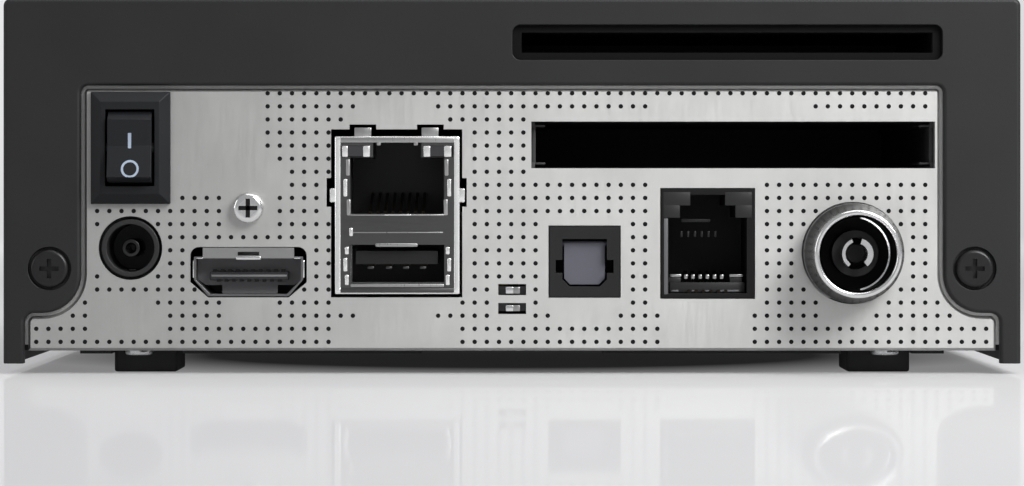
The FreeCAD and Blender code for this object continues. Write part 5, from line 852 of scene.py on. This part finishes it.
for side in (-1, 1):
    for clear, z0, z1 in JACK_STEPS:
        step_x = sorted((jack_x + side * JACK_HALF, jack_x + side * clear))
        brick(bm, step_x, (jack_front - 0.03, jack_front + 0.1), (z0, z1), 0.03)
shaped("jack_comb", bm, comb_dark, "case", "socket_plastic")
bm = bmesh.new()
(x0, x1), guide_z = JACK_GUIDE
brick(bm, (jack_x + x0, jack_x + x1), (jack_front - 0.04, jack_front + 0.3), guide_z, 0.08)
for x0, x1 in JACK_SLATS:
    slat_y = (jack_front + 1.25, jack_front + 1.5)
    brick(bm, (jack_x + x0, jack_x + x1), slat_y, (11.0, 11.3), 0.1)
shaped("jack_guides", bm, guide_painted_light, "case", "socket_plastic")
bm = bmesh.new()
spring_x = jack_x + JACK_SPRING_LEFT
spring_y = (jack_front + 3.5, jack_front + 3.8)
brick(bm, (spring_x, jack_x + 0.5), spring_y, (20.4, 20.85), 0.1)
for index in range(JACK_WAYS):
    x = spring_x + index * JACK_SPRING_PITCH
    brick(bm, (x - 0.15, x + 0.15), spring_y, (18.4, 19.2), 0.08)
shaped("jack_springs", bm, comb_dark, "case", "contact_gold")


# ---------------------------------------------------------------- aerial socket and tuner
# Push-on aerial socket turned in brass and nickel plated: a stepped barrel with a bright rolled
# rim, a spring ring inside it, and a split centre tube in a grey insulator.
BARREL_RADIUS = 5.85
BARREL_FOOT = 6.7
BORE_RADIUS = 5.1
BORE_DEPTH = 9.9
RIM_RADIUS = 0.36
RIM_STEPS = 10
# The spring ring bulges to one side: its start and sweep are in degrees.
SPRING_RADIUS = 4.98
SPRING_DEPTH = 3.2
SPRING_OFFSET = 0.49
SPRING_TURN = (-78, 156)
# The two leaves of the split tube: start and sweep in degrees, and wall.
CONTACT_RADIUS = 2.2
CONTACT_LEAVES = ((112, 122, 0.66), (-52, 126, 0.95))
CORE_RADIUS = 1.2
CORE_DEPTH = 3.6
low, high = (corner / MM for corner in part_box("rf_shell"))
aerial_x, aerial_z = (low.x + high.x) / 2, (low.z + high.z) / 2
tip = low.y

# Outside, the nickel is painted dark grey as a painted reflection of a dark room; inside, the
# bore is painted black as shade.
barrel_painted_reflection = plated("nickel_barrel_painted_reflection", "#444444", 0.2, 1.2, (1.0, 0.2, 1.0), 1.0, 0.001)
bore_painted_shade = moulded("bore_painted_shade_black", "#0e0e0e", 0.5, 0.3, 0.01, 0.2)
bm = bmesh.new()
lathe(bm, aerial_x, aerial_z, [
    (BORE_RADIUS, tip + 0.4), (BARREL_RADIUS - 0.02, tip + 0.4),
    (BARREL_RADIUS - 0.02, tip + 4.6), (BARREL_RADIUS, tip + 4.7),
    (BARREL_FOOT - 0.08, tip + 6.6), (BARREL_FOOT, tip + 6.75),
    (BARREL_FOOT, high.y), (BORE_RADIUS, high.y),
], 128, closed=True)
shaped("aerial_barrel", bm, barrel_painted_reflection, "case", "socket_steel", "rf_shell")
bm = bmesh.new()
middle = (BARREL_RADIUS + BORE_RADIUS) / 2
wall = (BARREL_RADIUS - BORE_RADIUS) / 2
turns = [math.radians(180 * step / RIM_STEPS) for step in range(RIM_STEPS + 1)]
rim = [(middle + wall * math.cos(a), tip + RIM_RADIUS * (1 - math.sin(a))) for a in turns]
rim += [(BORE_RADIUS, tip + 0.5), (BARREL_RADIUS, tip + 0.5)]
lathe(bm, aerial_x, aerial_z, rim, 128, closed=True)
shaped("aerial_rim", bm, nickel, "case", "socket_steel")
bm = bmesh.new()
lathe(bm, aerial_x, aerial_z, [
    (BORE_RADIUS - 0.02, tip + 0.5), (BORE_RADIUS - 0.02, tip + BORE_DEPTH),
    (0, tip + BORE_DEPTH), (0, tip + BORE_DEPTH - 0.2),
    (BORE_RADIUS - 0.2, tip + BORE_DEPTH - 0.2), (BORE_RADIUS - 0.2, tip + 0.6),
], 96)
shaped("aerial_bore", bm, bore_painted_shade, "case", "socket_steel")
bm = bmesh.new()
ring_y = tip + SPRING_DEPTH
lathe(bm, aerial_x - SPRING_OFFSET, aerial_z, [
    (SPRING_RADIUS - 0.2, ring_y), (SPRING_RADIUS, ring_y - 0.1),
    (SPRING_RADIUS + 0.02, ring_y + 0.4), (SPRING_RADIUS - 0.18, ring_y + 0.4),
], 72, closed=True, start=SPRING_TURN[0], sweep=SPRING_TURN[1])
shaped("aerial_spring", bm, zinc, "case", "socket_steel")
low, high = (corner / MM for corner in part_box("rf_contact"))
bm = bmesh.new()
for begin, sweep, wall in CONTACT_LEAVES:
    inside = CONTACT_RADIUS - wall
    lathe(bm, aerial_x, aerial_z, [
        (CONTACT_RADIUS, low.y + 0.15), (CONTACT_RADIUS - 0.12, low.y), (inside + 0.1, low.y),
        (inside, low.y + 0.2), (inside, high.y), (CONTACT_RADIUS, high.y),
    ], 36, closed=True, start=begin, sweep=sweep)
shaped("aerial_contact", bm, nickel, "case", "contact_gold", "rf_contact")
# The core inside the split tube is black: painted shade down in the tube.
bm = bmesh.new()
core_y = low.y + CORE_DEPTH
core = [(0, core_y), (CORE_RADIUS, core_y), (CORE_RADIUS, high.y), (0, high.y)]
lathe(bm, aerial_x, aerial_z, core, 48)
shaped("aerial_contact_core", bm, bore_painted_shade, "case", "insulator_plastic")
# Polyethylene insulator, dyed grey: smooth and a little waxy.
insulator_grey = moulded("grey_polyethylene", "#2e2e2f", 0.5, 0.3, 0.008)
softened("aerial_insulator", "rf_insulator", insulator_grey, "case", 0.1)
# Tinplate as rolled: silver and satin, streaked along the strip.
tin = plated("rolled_tinplate", "#b9bab8", 0.3, 0.4, (1.0, 0.1, 1.0))
dress("tuner_can", tin)


# ---------------------------------------------------------------- card cage and card reader
# The cage behind the wide slot takes a plug-in card: black-coated sheet, with a moulded guide
# at each end. Above it the smart-card reader stands on its own bracket, behind a lined slot.
CARD_ENDS = (2.6, 57.0)
GUIDE_WIDTH = 0.6
GUIDE_LENGTH = 12
GUIDE_Z = (28.2, 33.6)
GUIDE_LIP = 1.9
GUIDE_LIP_THICKNESS = 0.3
# Recess of the smart-card slot: middle across and up, its width and height, then the slot's.
READER_RECESS = (29.0, 44.65, 57.86, 4.71, 55.4, 2.75)
RECESS_DEPTH = 0.9

# Black coat on steel sheet: matt, and painted mid grey all over as light in the deep cage.
cage_painted_light = moulded("black_cage_coat_painted_light", "#4a4a4a", 0.55, 0.3, 0.01)
# Nylon guides: dark grey and smooth, so that a card slides.
guide_grey = moulded("grey_nylon_guide", "#3c3c3d", 0.45, 0.2, 0.006)
# The liner of the slot is matt, so it stays the darkest black of all.
liner_black = moulded("matt_black_slot_liner", "#0c0c0c", 0.7, 0.3, 0.01, 0.1)
softened("card_cage", "ci_cage", cage_painted_light, "case", 0.05)
cage_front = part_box("ci_cage")[0].y / MM
guide_y = (cage_front + 0.2, cage_front + GUIDE_LENGTH)
bm = bmesh.new()
for x, side in zip(CARD_ENDS, (1, -1)):
    brick(bm, sorted((x, x + side * GUIDE_WIDTH)), guide_y, GUIDE_Z, 0.1)
    for z in (GUIDE_Z[0], GUIDE_Z[1] - GUIDE_LIP_THICKNESS):
        lip_x = sorted((x, x + side * GUIDE_LIP))
        brick(bm, lip_x, guide_y, (z, z + GUIDE_LIP_THICKNESS), 0.08)
shaped("card_guides", bm, guide_grey, "case", "socket_plastic")
bm = bmesh.new()
x, z, width, height, slot_width, slot_height = READER_RECESS
liner_y = (rear_y + RECESS_DEPTH - 0.05, rear_y + RECESS_DEPTH + 0.1)
for side in (-1, 1):
    end = sorted((x + side * width / 2, x + side * slot_width / 2))
    brick(bm, end, liner_y, (z - height / 2, z + height / 2))
    brick(
        bm, (x - slot_width / 2, x + slot_width / 2), liner_y,
        sorted((z + side * height / 2, z + side * slot_height / 2)),
    )
shaped("reader_slot_liner", bm, liner_black, "case", "socket_plastic")
dress("ci_header", socket_black)
dress("card_reader", socket_black)
dress("reader_contacts", contact_gold)
dress("reader_bracket", tin)


# ---------------------------------------------------------------- boards
# Glass-epoxy boards on brass posts, with the processor under its aluminium heat sink and the
# memory, capacitors and inductors round it.

# Laminate under green solder mask: glossy, with the weave just showing.
laminate = moulded("green_fr4_laminate", "#1f5a3a", 0.35, 0.6, 0.01, 0.5, 4.0)
for node in ("main_board", "card_board", "front_board"):
    dress(node, laminate)
# Brass posts, turned: yellow metal with fine rings round it.
brass = plated("turned_brass", "#b48a3c", 0.3, 0.2, (1.0, 1.0, 0.2))
dress("board_standoffs", brass)
dress("card_standoffs", brass)
# Epoxy resin, moulded round the chips: black, dull and fine-grained.
resin = moulded("black_epoxy_resin", "#1d1d1f", 0.5, 0.15, 0.006)
dress("processor", resin)
dress("memory_chips", resin)
# Silicone pad, calendered: soft, dull and blue-grey.
dress("thermal_pad", moulded("grey_silicone_pad", "#7d8a99", 0.7, 0.4, 0.02))
# Aluminium, extruded: pale, with lines along the fins.
dress("heat_sink", plated("extruded_aluminium", "#b8babd", 0.35, 0.2, (1.0, 0.05, 1.0)))
# Aluminium cans in a shrunk sleeve: dark blue with half the shine of metal.
dress("capacitors", plated("sleeved_aluminium_can", "#3a3f52", 0.4, 0.3, (1.0, 1.0, 0.2), 0.4))
# Ferrite, sintered: a rough near-black.
dress("inductors", moulded("sintered_ferrite", "#2c2d2f", 0.6, 0.3, 0.02))
dress("panel_bracket", tin)


# ---------------------------------------------------------------- front
# Black ABS front frame with a smoked acrylic window over the display and receiver, and the
# round standby button that slides in against its switch.

# ABS, moulded in a polished tool: black, smoother than the cover.
front_abs = moulded("black_abs_front_frame", "#1b1b1c", 0.36, 0.2, 0.005)
softened("front_frame", "front_bezel", front_abs, "case", 0.15)
# Acrylic, polished and smoked: almost black, with clear reflections.
window_acrylic = moulded("smoked_acrylic", "#08080a", 0.06, 0.4, 0.0003, 0.6)
softened("front_lens", "front_window", window_acrylic, "case", 0.15)
softened("standby_cap", "standby_button", front_abs, "button", 0.1)
dress("button_switch", socket_black)
# Cast epoxy: a nearly opaque dark red over the sensor, a clear red on the lamp.
dress("ir_receiver", moulded("dark_epoxy_sensor", "#2a1618", 0.2, 0.3, 0.002, 0.5))
dress("status_led", moulded("clear_red_lamp", "#a02020", 0.15, 0.3, 0.001, 0.5))
dress("front_header", plug_nylon)
